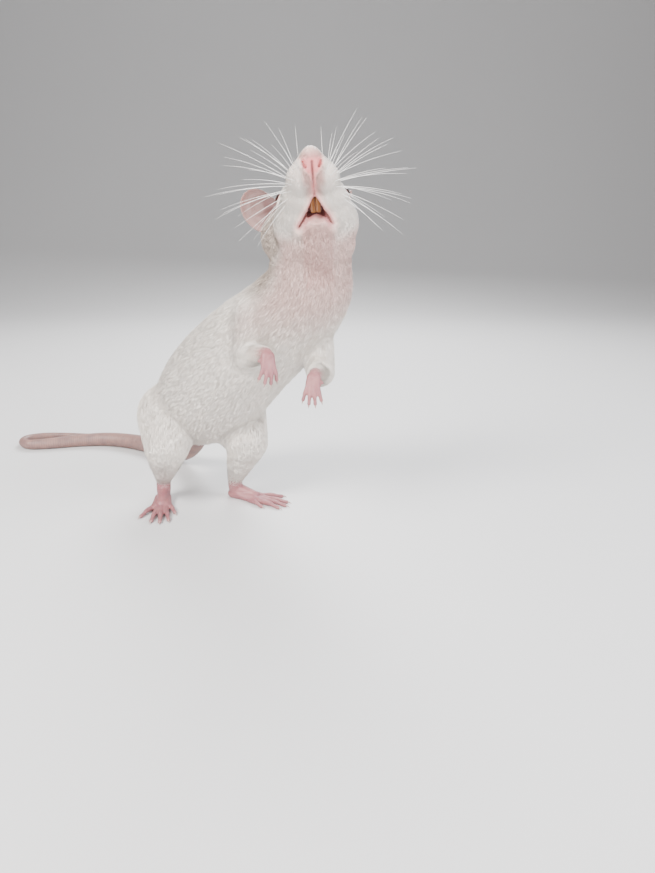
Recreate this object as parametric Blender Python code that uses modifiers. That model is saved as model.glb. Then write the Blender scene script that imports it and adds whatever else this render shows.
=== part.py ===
# A pet rat reared up on its hind feet with its nose thrown back, life size and still.
# Lengths are metres: mm() turns millimetre figures into them. +Z is up, the floor is z = 0,
# -Y is the side that the rat faces, and left and right are the rat's own.
# The flesh is modelled whole, out to the tips of the coat, and then parted with thin cuts.

import math

import bmesh
import bpy
import numpy as np
from mathutils import Matrix, Vector


def mm(*values):
    return Vector(values) / 1000 if len(values) > 1 else values[0] / 1000


# Driving dimensions
GAP = mm(0.35)
HEAD_LENGTH = mm(46)
EAR_HEIGHT = mm(17.5)
EAR_WIDTH = mm(16)
EAR_THICKNESS = mm(0.9)
EYE_RADIUS = mm(3.1)
FOOT_LENGTH = mm(28.5)
PAW_LENGTH = mm(11)
WHISKERS_PER_SIDE = 11
WHISKER_RADIUS = mm(0.32)
WHISKER_SHORTEST = mm(25)
WHISKER_LONGEST = mm(30)

# Where the nose tip is, and the way the head points: up, a little forward and to its right
NOSE_TIP = mm(44.3, -23, 137)
HEAD_FORWARD = Vector((-0.05, -0.467, 0.883)).normalized()
HEAD_LEFT = Vector((0.996, 0.060, 0.082)).normalized()

# The spine from the rump to the base of the skull: place, half width, half depth
SPINE = (
    (-7, 21, 32, 15.5, 14.5),
    (-3, 18, 39, 20.3, 19.3),
    (6, 12.5, 50, 22.0, 21.4),
    (18, 6, 63, 20.5, 20.5),
    (32.5, -1.0, 76, 18.4, 18.0),
    (42, -4.8, 87, 17.0, 16.2),
    (44, -5.5, 98, 15.4, 15.0),
    (44, -6.5, 106, 13.8, 13.0),
)

# The scruff swells behind the right cheek, where the thrown back head bunches it up
SCRUFF = mm(36, -3, 107)
SCRUFF_RADIUS = mm(10.6)

# The way the rat's left side faces at the pelvis and at the chest, which is turned further
PELVIS_LEFT = Vector((0.86, 0.50, -0.10))
CHEST_LEFT = Vector((0.82, 0.44, -0.36))

# Hind legs: hip, knee, ankle, heel and the way the foot points, with the radii on the way
HIND_LEGS = {
    "right": {
        "hip": mm(-15.5, 14, 35),
        "knee": mm(-15, -1, 25),
        "ankle": mm(-19, 7, 9.5),
        "heel": mm(-19.5, 9, 0),
        "toes_to": Vector((0.12, -0.99, 0)),
    },
    "left": {
        "hip": mm(9.5, 21.5, 34),
        "knee": mm(17, 6.5, 25.5),
        "ankle": mm(11, 7.5, 9.5),
        "heel": mm(8.3, 10.2, 0),
        "toes_to": Vector((0.90, -0.43, 0)),
    },
}
HIP_RADIUS = mm(14)
KNEE_RADIUS = mm(8.4)
ANKLE_RADIUS = mm(3.3)

# Forelegs, held before the chest: shoulder, elbow, wrist and the way the paw hangs
FORELEGS = {
    "right": {
        "shoulder": mm(24, -9, 80),
        "elbow": mm(20.5, -14.5, 66),
        "wrist": mm(29, -31.5, 70),
        "paw_to": Vector((0.10, -0.50, -0.86)),
    },
    "left": {
        "shoulder": mm(44, -4, 73),
        "elbow": mm(47.5, -11, 58.5),
        "wrist": mm(45.5, -28.5, 62),
        "paw_to": Vector((-0.10, -0.52, -0.85)),
    },
}
SHOULDER_RADIUS = mm(8.2)
ELBOW_RADIUS = mm(5.2)
WRIST_RADIUS = mm(2.3)

# The tail from inside the rump to its tip: place and radius. It lies on the floor.
TAIL = (
    (-8, 26, 32, 6.5),
    (-9, 33, 24, 5.4),
    (-12, 41, 14, 4.9),
    (-20, 50, 6.2, 4.6),
    (-33, 61, 4.2, 4.2),
    (-48, 71.5, 3.8, 3.8),
    (-64, 77, 3.45, 3.45),
    (-79, 76, 3.1, 3.1),
    (-92, 72.5, 2.75, 2.75),
    (-102, 71.5, 2.45, 2.45),
    (-107.5, 76, 2.2, 2.2),
    (-107.5, 83, 1.95, 1.95),
    (-101, 88, 1.7, 1.7),
    (-91, 90, 1.4, 1.4),
    (-80, 90.5, 1.1, 1.1),
    (-70, 91.5, 0.8, 0.8),
)
TAIL_LENGTH = mm(184)
TAIL_CUTS = (0.34, 0.61, 0.85)
TAIL_RINGS = 14
TAIL_NAMES = ("tail_base", "tail_middle", "tail_end", "tail_tip")
TAIL_ROOT_SHARE = 0.1

# Surfaces: colour and roughness of each, and the nodes that they cover
SURFACES = {
    "white_fur": ((0.80, 0.76, 0.71), 0.85),
    "pink_skin": ((0.72, 0.44, 0.42), 0.6),
    "tail_skin": ((0.45, 0.33, 0.31), 0.7),
    "dark_eye": ((0.02, 0.01, 0.01), 0.05),
    "incisor": ((0.75, 0.42, 0.12), 0.3),
}
BARE = {
    "ear": "pink_skin",
    "hind": "pink_skin",
    "forepaw": "pink_skin",
    "tail": "tail_skin",
    "eye": "dark_eye",
    "incisor": "incisor",
}

# Fineness of the flesh and the triangles that each part keeps
HEAD_VOXEL = mm(0.5)
PAW_VOXEL = mm(0.33)
HEAD_TRIANGLES = 2800
BODY_TRIANGLES = 3000
HIND_FOOT_TRIANGLES = 900
FOREPAW_TRIANGLES = 620


# Scene and materials


def clear_scene():
    for obj in list(bpy.data.objects):
        bpy.data.objects.remove(obj, do_unlink=True)
    for collection in list(bpy.data.collections):
        bpy.data.collections.remove(collection)


def new_collection(name):
    collection = bpy.data.collections.new(name)
    bpy.context.scene.collection.children.link(collection)
    return collection


def material(name, colour, roughness):
    made = bpy.data.materials.new(name)
    made.use_nodes = True
    shader = made.node_tree.nodes["Principled BSDF"]
    shader.inputs["Base Color"].default_value = (*colour, 1)
    shader.inputs["Roughness"].default_value = roughness
    shader.inputs["Metallic"].default_value = 0
    return made


# Frames and paths


def frame_of(origin, forward, left):
    # A frame whose X is forward, Y the rat's left and Z the side its back is on
    forward = forward.normalized()
    up = forward.cross(left).normalized()
    left = up.cross(forward)
    turn = Matrix((forward, left, up)).transposed()
    return Matrix.Translation(origin) @ turn.to_4x4()


def smooth_path(knots, steps):
    # Points of a Catmull-Rom curve through the knots, whatever their number of columns
    knots = np.asarray(knots, float)
    padded = np.vstack([2 * knots[0] - knots[1], knots, 2 * knots[-1] - knots[-2]])
    t = np.linspace(0, 1, steps, endpoint=False)[:, None]
    spans = []
    for a, b, c, d in zip(padded[:-3], padded[1:-2], padded[2:-1], padded[3:]):
        cubic = -a + 3 * b - 3 * c + d
        square = 2 * a - 5 * b + 4 * c - d
        spans.append(b + 0.5 * ((c - a) * t + square * t**2 + cubic * t**3))
    return np.vstack([*spans, knots[-1:]])


# Building blocks of the flesh


def ball(mesh, centre, radii, turn=None):
    # An ellipsoid with its three radii along the axes of turn
    turn = turn or Matrix.Identity(3)
    scale = Matrix.Diagonal((*radii, 1))
    matrix = Matrix.Translation(centre) @ turn.to_4x4() @ scale
    bmesh.ops.create_icosphere(mesh, subdivisions=3, radius=1, matrix=matrix)


def limb(mesh, knots, steps=6):
    # Round balls along a smooth path through knots of (x, y, z, radius)
    for x, y, z, radius in smooth_path(knots, steps):
        ball(mesh, (x, y, z), (radius,) * 3)


def knot(point, radius):
    return (*point, radius)


def object_from(mesh, name, collection):
    data = bpy.data.meshes.new(name)
    mesh.to_mesh(data)
    mesh.free()
    obj = bpy.data.objects.new(name, data)
    collection.objects.link(obj)
    return obj


def applied(obj):
    # Turns the object's modifiers into its mesh
    graph = bpy.context.evaluated_depsgraph_get()
    graph.update()
    data = bpy.data.meshes.new_from_object(obj.evaluated_get(graph))
    obj.modifiers.clear()
    obj.data = data
    return obj


def keep_largest(obj):
    # Leaves only the closed surface with the most faces
    mesh = bmesh.new()
    mesh.from_mesh(obj.data)
    unseen = set(mesh.verts)
    bodies = []
    while unseen:
        body = {unseen.pop()}
        edge = set(body)
        while edge:
            edge = {e.other_vert(v) for v in edge for e in v.link_edges} - body
            body |= edge
        unseen -= body
        bodies.append(body)
    largest = max(bodies, key=len)
    loose = [v for v in mesh.verts if v not in largest]
    bmesh.ops.delete(mesh, geom=loose, context="VERTS")
    mesh.to_mesh(obj.data)
    mesh.free()
    return obj


def fuse(obj, voxel, rounds):
    # One smooth closed skin round all the shapes in the object
    remesh = obj.modifiers.new("Fuse", "REMESH")
    remesh.mode = "VOXEL"
    remesh.voxel_size = voxel
    smooth = obj.modifiers.new("Relax", "SMOOTH")
    smooth.factor = 0.5
    smooth.iterations = rounds
    return keep_largest(applied(obj))


def reduce(obj, triangles):
    turn_to_triangles(obj)
    decimate = obj.modifiers.new("Reduce", "DECIMATE")
    decimate.ratio = min(1, triangles / len(obj.data.polygons))
    return applied(obj)


def turn_to_triangles(obj):
    mesh = bmesh.new()
    mesh.from_mesh(obj.data)
    bmesh.ops.triangulate(mesh, faces=mesh.faces)
    mesh.to_mesh(obj.data)
    mesh.free()


def boolean(obj, other, operation):
    change = obj.modifiers.new("Cut", "BOOLEAN")
    change.operation = operation
    change.solver = "EXACT"
    change.object = other
    return applied(obj)


def copy_of(obj, name, collection):
    copy = obj.copy()
    copy.data = obj.data.copy()
    copy.name = name
    collection.objects.link(copy)
    return copy


def grown(obj, by, collection):
    copy = copy_of(obj, obj.name + "_grown", collection)
    displace = copy.modifiers.new("Grow", "DISPLACE")
    displace.mid_level = 0
    displace.strength = by
    return applied(copy)


def cutter_from(mesh, name, cutters):
    obj = object_from(mesh, name, cutters)
    obj.hide_render = True
    obj.display_type = "WIRE"
    return obj


def hull_cutter(points, name, cutters):
    mesh = bmesh.new()
    for point in points:
        mesh.verts.new(point)
    bmesh.ops.convex_hull(mesh, input=mesh.verts)
    bmesh.ops.recalc_face_normals(mesh, faces=mesh.faces)
    return cutter_from(mesh, name, cutters)


def discard(*objects):
    for obj in objects:
        bpy.data.objects.remove(obj, do_unlink=True)


# The whole flesh without feet, forepaws and tail


def head_forms(mesh, head):
    turn = head.to_3x3()

    def lump(forward, left, up, long, wide, deep):
        ball(mesh, head @ mm(forward, left, up), mm(long, wide, deep), turn)

    lump(-29, 0, 0.5, 16, 14.6, 12.3)
    lump(-23, 0, 3.2, 15, 10.5, 7.6)
    lump(-36, -0.6, -1, 9.5, 13.4, 13)
    lump(-40, -0.8, -4, 8, 13.4, 13)
    lump(-37, -3.5, 3.5, 9, 13, 10)
    for side in (-1, 1):
        lump(-26, 6.2 * side, -4.6, 10.5, 8.9, 7.6)
        lump(-19.5, 5 * side, -3.6, 8.5, 7.3, 6.4)
        lump(-11.4, 4.1 * side, -3.1, 7.2, 5.3, 5.1)
        lump(-7.2, 2.6 * side, -2.7, 4.6, 4.0, 3.9)
        lump(-20.5, 8.2 * side, 3.2, 6, 3.6, 4.6)
        lump(-28.5, 10.6 * side, 7.0, 5.2, 4.4, 4.2)
        rim(mesh, head, side)
    bridge = ((-20, 0, 1.5, 9.2), (-14, 0, 0.4, 7.9), (-8.5, 0, -0.4, 6.1))
    tip = ((-4.6, 0, -0.9, 4.1), (-2.6, 0, -1.1, 2.75))
    limb(mesh, [knot(head @ mm(*k[:3]), mm(k[3])) for k in bridge + tip])


def eye_place(head, side):
    return head @ mm(-21.5, 10.2 * side, 5.4)


def eye_out(head, side):
    # The way that the eye looks: outward, a little forward and toward the crown
    return (head.to_3x3() @ Vector((0.30, 0.86 * side, 0.42))).normalized()


def rim(mesh, head, side):
    # The ring of the eyelids, balls round the front of the eye
    out = eye_out(head, side)
    along = (head.to_3x3() @ Vector((1, 0, 0))).cross(out).normalized()
    across = out.cross(along)
    centre = eye_place(head, side) + out * mm(0.9)
    for turn in range(16):
        angle = math.tau * turn / 16
        spot = along * math.cos(angle) * mm(3.0) + across * math.sin(angle) * mm(3.4)
        ball(mesh, centre + spot, (mm(1.0),) * 3)


def jaw_forms(mesh, head):
    # The lower jaw, dropped a little so that the mouth stands open
    chin = ((-35, 0, -8, 8.5), (-29, 0, -9.3, 7.4), (-24.5, 0, -10.6, 5.2))
    lip = ((-22.6, 0, -11.1, 3.6),)
    limb(mesh, [knot(head @ mm(*k[:3]), mm(k[3])) for k in chin + lip])
    for side in (-1, 1):
        ramus = ((-33, 6.5, -6.5, 7.2), (-27, 4.2, -8.5, 5.6), (-23.4, 2, -10.3, 3.5))
        knots = [knot(head @ mm(k[0], k[1] * side, k[2]), mm(k[3])) for k in ramus]
        limb(mesh, knots)


def torso_forms(mesh):
    ball(mesh, SCRUFF, (SCRUFF_RADIUS,) * 3)
    path = smooth_path(SPINE, 6)
    for step, (x, y, z, wide, deep) in enumerate(path):
        ahead = path[min(step + 1, len(path) - 1)]
        behind = path[max(step - 1, 0)]
        share = step / (len(path) - 1)
        left = PELVIS_LEFT.lerp(CHEST_LEFT, min(1, 1.3 * share))
        along = Vector(ahead[:3] - behind[:3])
        turn = frame_of(Vector(), along, left).to_3x3()
        ball(mesh, mm(x, y, z), mm(0.62 * deep, wide, deep), turn)


def leg_forms(mesh):
    for leg in HIND_LEGS.values():
        hip, knee, ankle = leg["hip"], leg["knee"], leg["ankle"]
        shin = knee.lerp(ankle, 0.55)
        down = (ankle - knee).normalized()
        thigh = [knot(hip, HIP_RADIUS), knot(knee, KNEE_RADIUS)]
        shank = [
            knot(knee, KNEE_RADIUS),
            knot(shin, mm(5.6)),
            knot(ankle, ANKLE_RADIUS),
            knot(ankle + down * mm(2), ANKLE_RADIUS),
        ]
        limb(mesh, thigh, 8)
        limb(mesh, shank)
    for leg in FORELEGS.values():
        shoulder, elbow, wrist = leg["shoulder"], leg["elbow"], leg["wrist"]
        forward = (wrist - elbow).normalized()
        middle = elbow.lerp(wrist, 0.45)
        arm = [knot(shoulder, SHOULDER_RADIUS), knot(elbow, ELBOW_RADIUS)]
        forearm = [
            knot(elbow, ELBOW_RADIUS),
            knot(middle, mm(3.9)),
            knot(wrist, WRIST_RADIUS),
            knot(wrist + forward * mm(1.5), WRIST_RADIUS),
        ]
        limb(mesh, arm, 8)
        limb(mesh, forearm, 8)


def tail_path():
    path = smooth_path(TAIL, 8)
    path[:, :4] /= 1000
    return path


def tail_root_forms(mesh):
    path = tail_path()
    for x, y, z, radius in path[: int(len(path) * TAIL_ROOT_SHARE) + 3]:
        ball(mesh, (x, y, z), (radius,) * 3)


# Feet and forepaws


def toe(mesh, base, knuckle, tip, radius, claw):
    limb(mesh, [knot(base, radius * 1.15), knot(knuckle, radius), knot(tip, radius * 0.82)])
    ahead = (tip - knuckle).normalized()
    root = tip + ahead * radius * 0.35
    point = root + ahead * claw - Vector((0, 0, claw * 0.22))
    middle = root.lerp(point, 0.5) + Vector((0, 0, claw * 0.12))
    limb(mesh, [knot(root, mm(0.42)), knot(middle, mm(0.36)), knot(point, mm(0.25))])


# Toe tips as shares of the foot's length: forward, toward the other foot
TOE_TIPS = ((0.66, 0.20), (0.90, 0.135), (0.95, 0.02), (0.91, -0.10), (0.74, -0.26))
TOE_BASES = ((0.42, 0.105), (0.60, 0.075), (0.62, 0.01), (0.59, -0.06), (0.45, -0.115))


def hind_foot(side, leg, collection):
    forward = leg["toes_to"].normalized()
    across = Vector((-forward.y, forward.x, 0))
    inward = across if side == "right" else -across
    heel, ankle = leg["heel"], leg["ankle"]

    def sole(ahead, inner, height):
        place = heel + (forward * ahead + inward * inner) * FOOT_LENGTH
        return place + Vector((0, 0, height))

    mesh = bmesh.new()
    shin = (leg["knee"] - ankle).normalized()
    shaft = [
        knot(ankle + shin * mm(3), ANKLE_RADIUS),
        knot(ankle, ANKLE_RADIUS),
        knot(sole(0.10, 0, mm(3.6)), mm(3.2)),
    ]
    limb(mesh, shaft)
    for inner in (-1, 1):
        spread = 0.045 * inner
        length = [
            knot(sole(0.055, spread * 0.4, mm(1.6)), mm(2.2)),
            knot(sole(0.28, spread, mm(1.75)), mm(2.1)),
            knot(sole(0.50, spread * 1.7, mm(1.35)), mm(1.95)),
        ]
        limb(mesh, length)
    limb(mesh, [knot(sole(0.12, 0, mm(4.0)), mm(2.9)), knot(sole(0.45, 0, mm(2.6)), mm(2.0))])
    for (tip_on, tip_in), (base_on, base_in) in zip(TOE_TIPS, TOE_BASES):
        base = sole(base_on, base_in, mm(1.2))
        tip = sole(tip_on, tip_in, mm(0.65))
        knuckle = base.lerp(tip, 0.5) + Vector((0, 0, mm(0.45)))
        toe(mesh, base, knuckle, tip, mm(1.0), mm(1.7))
    foot = object_from(mesh, "hind_foot_" + side, collection)
    fuse(foot, PAW_VOXEL, 3)
    return reduce(foot, HIND_FOOT_TRIANGLES)


FINGER_TIPS = ((0.80, 0.30), (0.93, 0.12), (0.94, -0.08), (0.82, -0.28))
FINGER_BASES = ((0.44, 0.17), (0.50, 0.06), (0.50, -0.06), (0.44, -0.17))


def forepaw(side, leg, collection):
    wrist = leg["wrist"]
    forearm = (wrist - leg["elbow"]).normalized()
    forward = leg["paw_to"].normalized()
    across = forward.cross(forearm).normalized()
    back = across.cross(forward)
    inward = across if side == "right" else -across

    def palm(ahead, inner, raised):
        place = wrist + forearm * mm(1.2) + (forward * ahead + inward * inner) * PAW_LENGTH
        return place + back * raised

    mesh = bmesh.new()
    cuff = [
        knot(wrist - forearm * mm(2.5), WRIST_RADIUS),
        knot(wrist, WRIST_RADIUS),
        knot(palm(0.12, 0, 0), mm(2.1)),
    ]
    limb(mesh, cuff)
    turn = Matrix((forward, across, back)).transposed()
    ball(mesh, palm(0.28, 0, 0), mm(3.6, 2.9, 1.75), turn)
    for (tip_on, tip_in), (base_on, base_in) in zip(FINGER_TIPS, FINGER_BASES):
        base = palm(base_on, base_in, mm(0.2))
        tip = palm(tip_on, tip_in, mm(-1.3))
        knuckle = base.lerp(tip, 0.5) + back * mm(0.6)
        toe(mesh, base, knuckle, tip, mm(0.82), mm(1.3))
    paw = object_from(mesh, "forepaw_" + side, collection)
    fuse(paw, PAW_VOXEL, 3)
    return reduce(paw, FOREPAW_TRIANGLES)


# Cells that part the flesh into named pieces


def half_space(point, normal, reach, name, cutters):
    # A box whose near face passes through the point and which lies on the normal's side
    mesh = bmesh.new()
    turn = normal.to_track_quat("Z", "Y").to_matrix().to_4x4()
    centre = Matrix.Translation(point + normal * reach)
    matrix = centre @ turn @ Matrix.Diagonal((2 * reach, 2 * reach, 2 * reach, 1))
    bmesh.ops.create_cube(mesh, size=1, matrix=matrix)
    return cutter_from(mesh, name, cutters)


def stub(point, direction, radius, length, name, cutters):
    # A cylinder whose near face passes through the point and which runs along the direction
    mesh = bmesh.new()
    turn = direction.to_track_quat("Z", "Y").to_matrix().to_4x4()
    matrix = Matrix.Translation(point + direction * length / 2) @ turn
    bmesh.ops.create_cone(
        mesh,
        cap_ends=True,
        segments=32,
        radius1=radius,
        radius2=radius,
        depth=length,
        matrix=matrix,
    )
    return cutter_from(mesh, name, cutters)


def trim(obj, point, direction, radius, length, cutters):
    # Cuts the end of a limb off square
    cutter = stub(point, direction, radius, length, "trim", cutters)
    boolean(obj, cutter, "DIFFERENCE")
    discard(cutter)
    return keep_largest(obj)


def capsule(start, end, radius_from, radius_to, name, cutters):
    mesh = bmesh.new()
    bmesh.ops.create_icosphere(
        mesh, subdivisions=2, radius=radius_from, matrix=Matrix.Translation(start)
    )
    bmesh.ops.create_icosphere(
        mesh, subdivisions=2, radius=radius_to, matrix=Matrix.Translation(end)
    )
    points = [v.co.copy() for v in mesh.verts]
    mesh.free()
    return hull_cutter(points, name, cutters)


def carve(flesh, cell, grown_cell, name, parts):
    # Takes the part of the flesh inside the cell as a new node and leaves a gap round it
    node = copy_of(flesh, name, parts)
    boolean(node, cell, "INTERSECT")
    keep_largest(node)
    boolean(flesh, grown_cell, "DIFFERENCE")
    keep_largest(flesh)
    discard(cell, grown_cell)
    return node


def part_forelegs(flesh, parts, cutters):
    for side, leg in FORELEGS.items():
        shoulder, elbow, wrist = leg["shoulder"], leg["elbow"], leg["wrist"]
        forward = (wrist - elbow).normalized()
        start = elbow + forward * mm(2.5)
        end = wrist + forward * mm(2)
        cells = [
            capsule(start, end, mm(5.6) + grow, mm(4) + grow, "cell", cutters)
            for grow in (0, GAP)
        ]
        carve(flesh, *cells, "forearm_" + side, parts)
        cells = [
            capsule(shoulder, elbow, mm(8.6) + grow, mm(7.6) + grow, "cell", cutters)
            for grow in (0, GAP)
        ]
        carve(flesh, *cells, "upper_arm_" + side, parts)


def part_hind_legs(flesh, parts, cutters):
    for side, leg in HIND_LEGS.items():
        hip, knee, ankle = leg["hip"], leg["knee"], leg["ankle"]
        down = (ankle - knee).normalized()
        start = knee + down * mm(11)
        cells = [
            capsule(start, ankle, mm(8.8) + grow, mm(7) + grow, "cell", cutters)
            for grow in (0, GAP)
        ]
        carve(flesh, *cells, "shank_" + side, parts)
        cells = [
            capsule(hip, knee, HIP_RADIUS + mm(0.6) + grow, mm(10.4) + grow, "cell", cutters)
            for grow in (0, GAP)
        ]
        carve(flesh, *cells, "thigh_" + side, parts)


def spine_place(index):
    x, y, z = SPINE[index][:3]
    before, after = SPINE[index - 1], SPINE[index + 1]
    along = Vector(a - b for a, b in zip(after[:3], before[:3])).normalized()
    return mm(x, y, z), along


def part_trunk(flesh, parts, cutters):
    reach = mm(60)
    for name, index in (("neck", 5), ("chest", 3)):
        point, along = spine_place(index)
        cell = half_space(point, along, reach, "cell", cutters)
        wider = half_space(point - along * GAP, along, reach, "cell_grown", cutters)
        carve(flesh, cell, wider, name, parts)


# Features of the head


def carve_mouth(flesh, head, cutters):
    # The open mouth: a wedge under the snout from the cleft of the upper lip down to the
    # lower lip, and on each side a sliver that runs on to the corner
    middle = ((-13.2, 0), (-17.4, 3.2), (-17.4, -3.2), (-20.3, 3.9), (-20.3, -3.9))
    sliver = ((-17.6, 2.6), (-22.8, 6.0), (-20.1, 3.0))
    mirrored = tuple((forward, -left) for forward, left in sliver)
    for rim_points in (middle, sliver, mirrored):
        points = []
        for forward, left in rim_points:
            points.append(head @ mm(forward, left, -18))
            points.append(head @ mm(0.86 * forward - 2.9, 0.72 * left, -5.4))
        wedge = hull_cutter(points, "mouth", cutters)
        boolean(flesh, wedge, "DIFFERENCE")
        discard(wedge)


def carve_nostrils(flesh, head, cutters):
    for side in (-1, 1):
        mesh = bmesh.new()
        comma = ((-2.6, 3.2, -3.6, 0.55), (-4.0, 2.3, -5.4, 0.75), (-5.4, 3.2, -6.2, 0.5))
        limb(mesh, [knot(head @ mm(k[0], k[1] * side, k[2]), mm(k[3])) for k in comma])
        nostril = cutter_from(mesh, "nostril", cutters)
        fuse(nostril, mm(0.2), 1)
        reduce(nostril, 120)
        boolean(flesh, nostril, "DIFFERENCE")
        discard(nostril)


def carve_philtrum(flesh, head, cutters):
    # The cleft between the halves of the upper lip, from the nose to the mouth
    line = ((-4.5, -5.2), (-8, -6.2), (-11.5, -7.0), (-15, -7.6))
    half_width = mm(0.22)
    points = []
    for forward, up in line:
        for across in (-half_width, half_width):
            points.append(head @ (mm(forward, 0, up) + Vector((0, across, 0))))
            points.append(head @ (mm(forward, 0, up - 6) + Vector((0, across, 0))))
    cleft = hull_cutter(points, "cleft", cutters)
    boolean(flesh, cleft, "DIFFERENCE")
    discard(cleft)


def carve_sockets(flesh, head, cutters):
    for side in (-1, 1):
        mesh = bmesh.new()
        centre = Matrix.Translation(eye_place(head, side))
        bmesh.ops.create_icosphere(
            mesh, subdivisions=3, radius=EYE_RADIUS + GAP, matrix=centre
        )
        socket = cutter_from(mesh, "socket", cutters)
        boolean(flesh, socket, "DIFFERENCE")
        discard(socket)


def part_jaw(flesh, head, parts, cutters):
    # The lower jaw parts from the head on a plane through the corners of the mouth
    cells = []
    for grow in (0, GAP):
        points = []
        for forward, up in ((-19, -6.2), (-34.5, -6.6), (-34.5, -22), (-19, -22)):
            for left in (-16, 16):
                lift = mm(0, 0, 0) if up < -20 else Vector((0, 0, grow))
                back = Vector((-grow, 0, 0)) if forward < -30 else Vector()
                points.append(head @ (mm(forward, left, up) + lift + back))
        cells.append(hull_cutter(points, "jaw_cell", cutters))
    return carve(flesh, *cells, "lower_jaw", parts)


def eyes(head, parts):
    for side, name in ((-1, "eye_right"), (1, "eye_left")):
        mesh = bmesh.new()
        centre = Matrix.Translation(eye_place(head, side))
        bmesh.ops.create_icosphere(mesh, subdivisions=2, radius=EYE_RADIUS, matrix=centre)
        object_from(mesh, name, parts)


def incisors(head, neighbours, parts):
    # The two upper incisors, side by side in the cleft, curving back
    for side, name in ((-1, "incisor_right"), (1, "incisor_left")):
        mesh = bmesh.new()
        curve = ((-16.2, 1.15, -6.4, 0.9), (-16.4, 1.15, -9, 0.88), (-17.7, 1.1, -11.7, 0.6))
        limb(mesh, [knot(head @ mm(k[0], k[1] * side, k[2]), mm(k[3])) for k in curve])
        tooth = object_from(mesh, name, parts)
        fuse(tooth, mm(0.2), 1)
        reduce(tooth, 150)
        for neighbour in neighbours:
            boolean(tooth, neighbour, "DIFFERENCE")
        keep_largest(tooth)


# Ears


EARS = {
    # The right ear stands out; the left one is laid back behind the cheek
    "right": {"base": (-26.8, -14.4, 8.2), "out": (-0.04, -0.90, 0.44), "rise": (1, -0.1, 0.05)},
    "left": {"base": (-30.5, 10.6, 9.4), "out": (-0.45, 0.16, 0.88), "rise": (0.88, 0.30, 0.2)},
}


def ear(side, head, neighbours, parts, rings=7, spokes=20):
    # A cupped shell: an oval that is deepest toward its root and rolled at the edge
    shape = EARS[side]
    turn = head.to_3x3()
    out = (turn @ Vector(shape["out"])).normalized()
    rise = turn @ Vector(shape["rise"])
    rise = (rise - out * rise.dot(out)).normalized()
    face = rise.cross(out) if side == "right" else out.cross(rise)
    root = head @ mm(*shape["base"])
    mesh = bmesh.new()
    grid = []
    for ring in range(rings + 1):
        share = ring / rings
        row = []
        for spoke in range(spokes if ring else 1):
            angle = math.tau * spoke / spokes
            along = math.cos(angle) * share
            across = math.sin(angle) * share
            narrow = 1 - 0.34 * max(0, -along) ** 1.5
            cup = 0.36 * (1 - share**2.2) + 0.20 * max(0, -along)
            place = root + out * EAR_WIDTH * 0.5 * (along + 0.62)
            place += rise * EAR_HEIGHT * 0.5 * across * narrow
            row.append(mesh.verts.new(place - face * EAR_WIDTH * 0.5 * cup))
        grid.append(row)
    centre = grid[0][0]
    for spoke in range(spokes):
        after = (spoke + 1) % spokes
        mesh.faces.new((centre, grid[1][spoke], grid[1][after]))
        for ring in range(1, rings):
            low, high = grid[ring], grid[ring + 1]
            mesh.faces.new((low[spoke], high[spoke], high[after], low[after]))
    shell = object_from(mesh, "ear_" + side, parts)
    solid = shell.modifiers.new("Thickness", "SOLIDIFY")
    solid.thickness = EAR_THICKNESS
    solid.offset = 0
    applied(shell)
    mend_normals(shell)
    for neighbour in neighbours:
        boolean(shell, neighbour, "DIFFERENCE")
    return keep_largest(shell)


def mend_normals(obj):
    mesh = bmesh.new()
    mesh.from_mesh(obj.data)
    bmesh.ops.recalc_face_normals(mesh, faces=mesh.faces)
    mesh.to_mesh(obj.data)
    mesh.free()


# Whiskers


def whisker_fan(head, side):
    # Root, first direction and length of each whisker on one side, from the nose back
    for step in range(WHISKERS_PER_SIDE):
        share = step / (WHISKERS_PER_SIDE - 1)
        angle = math.radians(76 - 122 * share)
        row = step % 3 - 1
        root = head @ mm(-8.5 - 7 * share, (5.4 + 3.8 * share) * side, -2.4 + 1.7 * row)
        out = Vector((math.sin(angle), math.cos(angle) * side, 0.08 * row - 0.1))
        extra = (WHISKER_LONGEST - WHISKER_SHORTEST) * math.sin(math.pi * share)
        length = WHISKER_SHORTEST + extra
        yield root, (head.to_3x3() @ out).normalized(), length


def whisker(root, out, length, back, cutters, rings=6, sides=4):
    # A thin tapering tube that bends slowly back toward the ears
    mesh = bmesh.new()
    across = out.cross(back).normalized()
    rows = []
    for ring in range(rings + 1):
        share = ring / rings
        place = root + (out * share + back * 0.16 * share**2) * length
        heading = (out + back * 0.32 * share).normalized()
        upright = heading.cross(across).normalized()
        radius = WHISKER_RADIUS * (1 - 0.55 * share**3)
        row = []
        for corner in range(sides):
            angle = math.tau * corner / sides
            spot = across * math.cos(angle) + upright * math.sin(angle)
            row.append(mesh.verts.new(place + spot * radius))
        rows.append(row)
    for low, high in zip(rows, rows[1:]):
        for corner in range(sides):
            after = (corner + 1) % sides
            mesh.faces.new((low[corner], low[after], high[after], high[corner]))
    mesh.faces.new(rows[0])
    mesh.faces.new(rows[-1])
    bmesh.ops.recalc_face_normals(mesh, faces=mesh.faces)
    return cutter_from(mesh, "whisker", cutters)


def add_whiskers(node, head, cutters):
    back = head.to_3x3() @ Vector((-0.9, 0, 0.45))
    hairs = new_collection("whiskers")
    hairs.hide_render = True
    for side in (-1, 1):
        for root, out, length in whisker_fan(head, side):
            inside = root - out * mm(1.5)
            hair = whisker(inside, out, length + mm(1.5), back, cutters)
            hairs.objects.link(hair)
    union = node.modifiers.new("Whiskers", "BOOLEAN")
    union.operation = "UNION"
    union.solver = "EXACT"
    union.operand_type = "COLLECTION"
    union.collection = hairs
    applied(node)
    discard(*hairs.objects)
    bpy.data.collections.remove(hairs)
    return keep_largest(node)


# Tail


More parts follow.
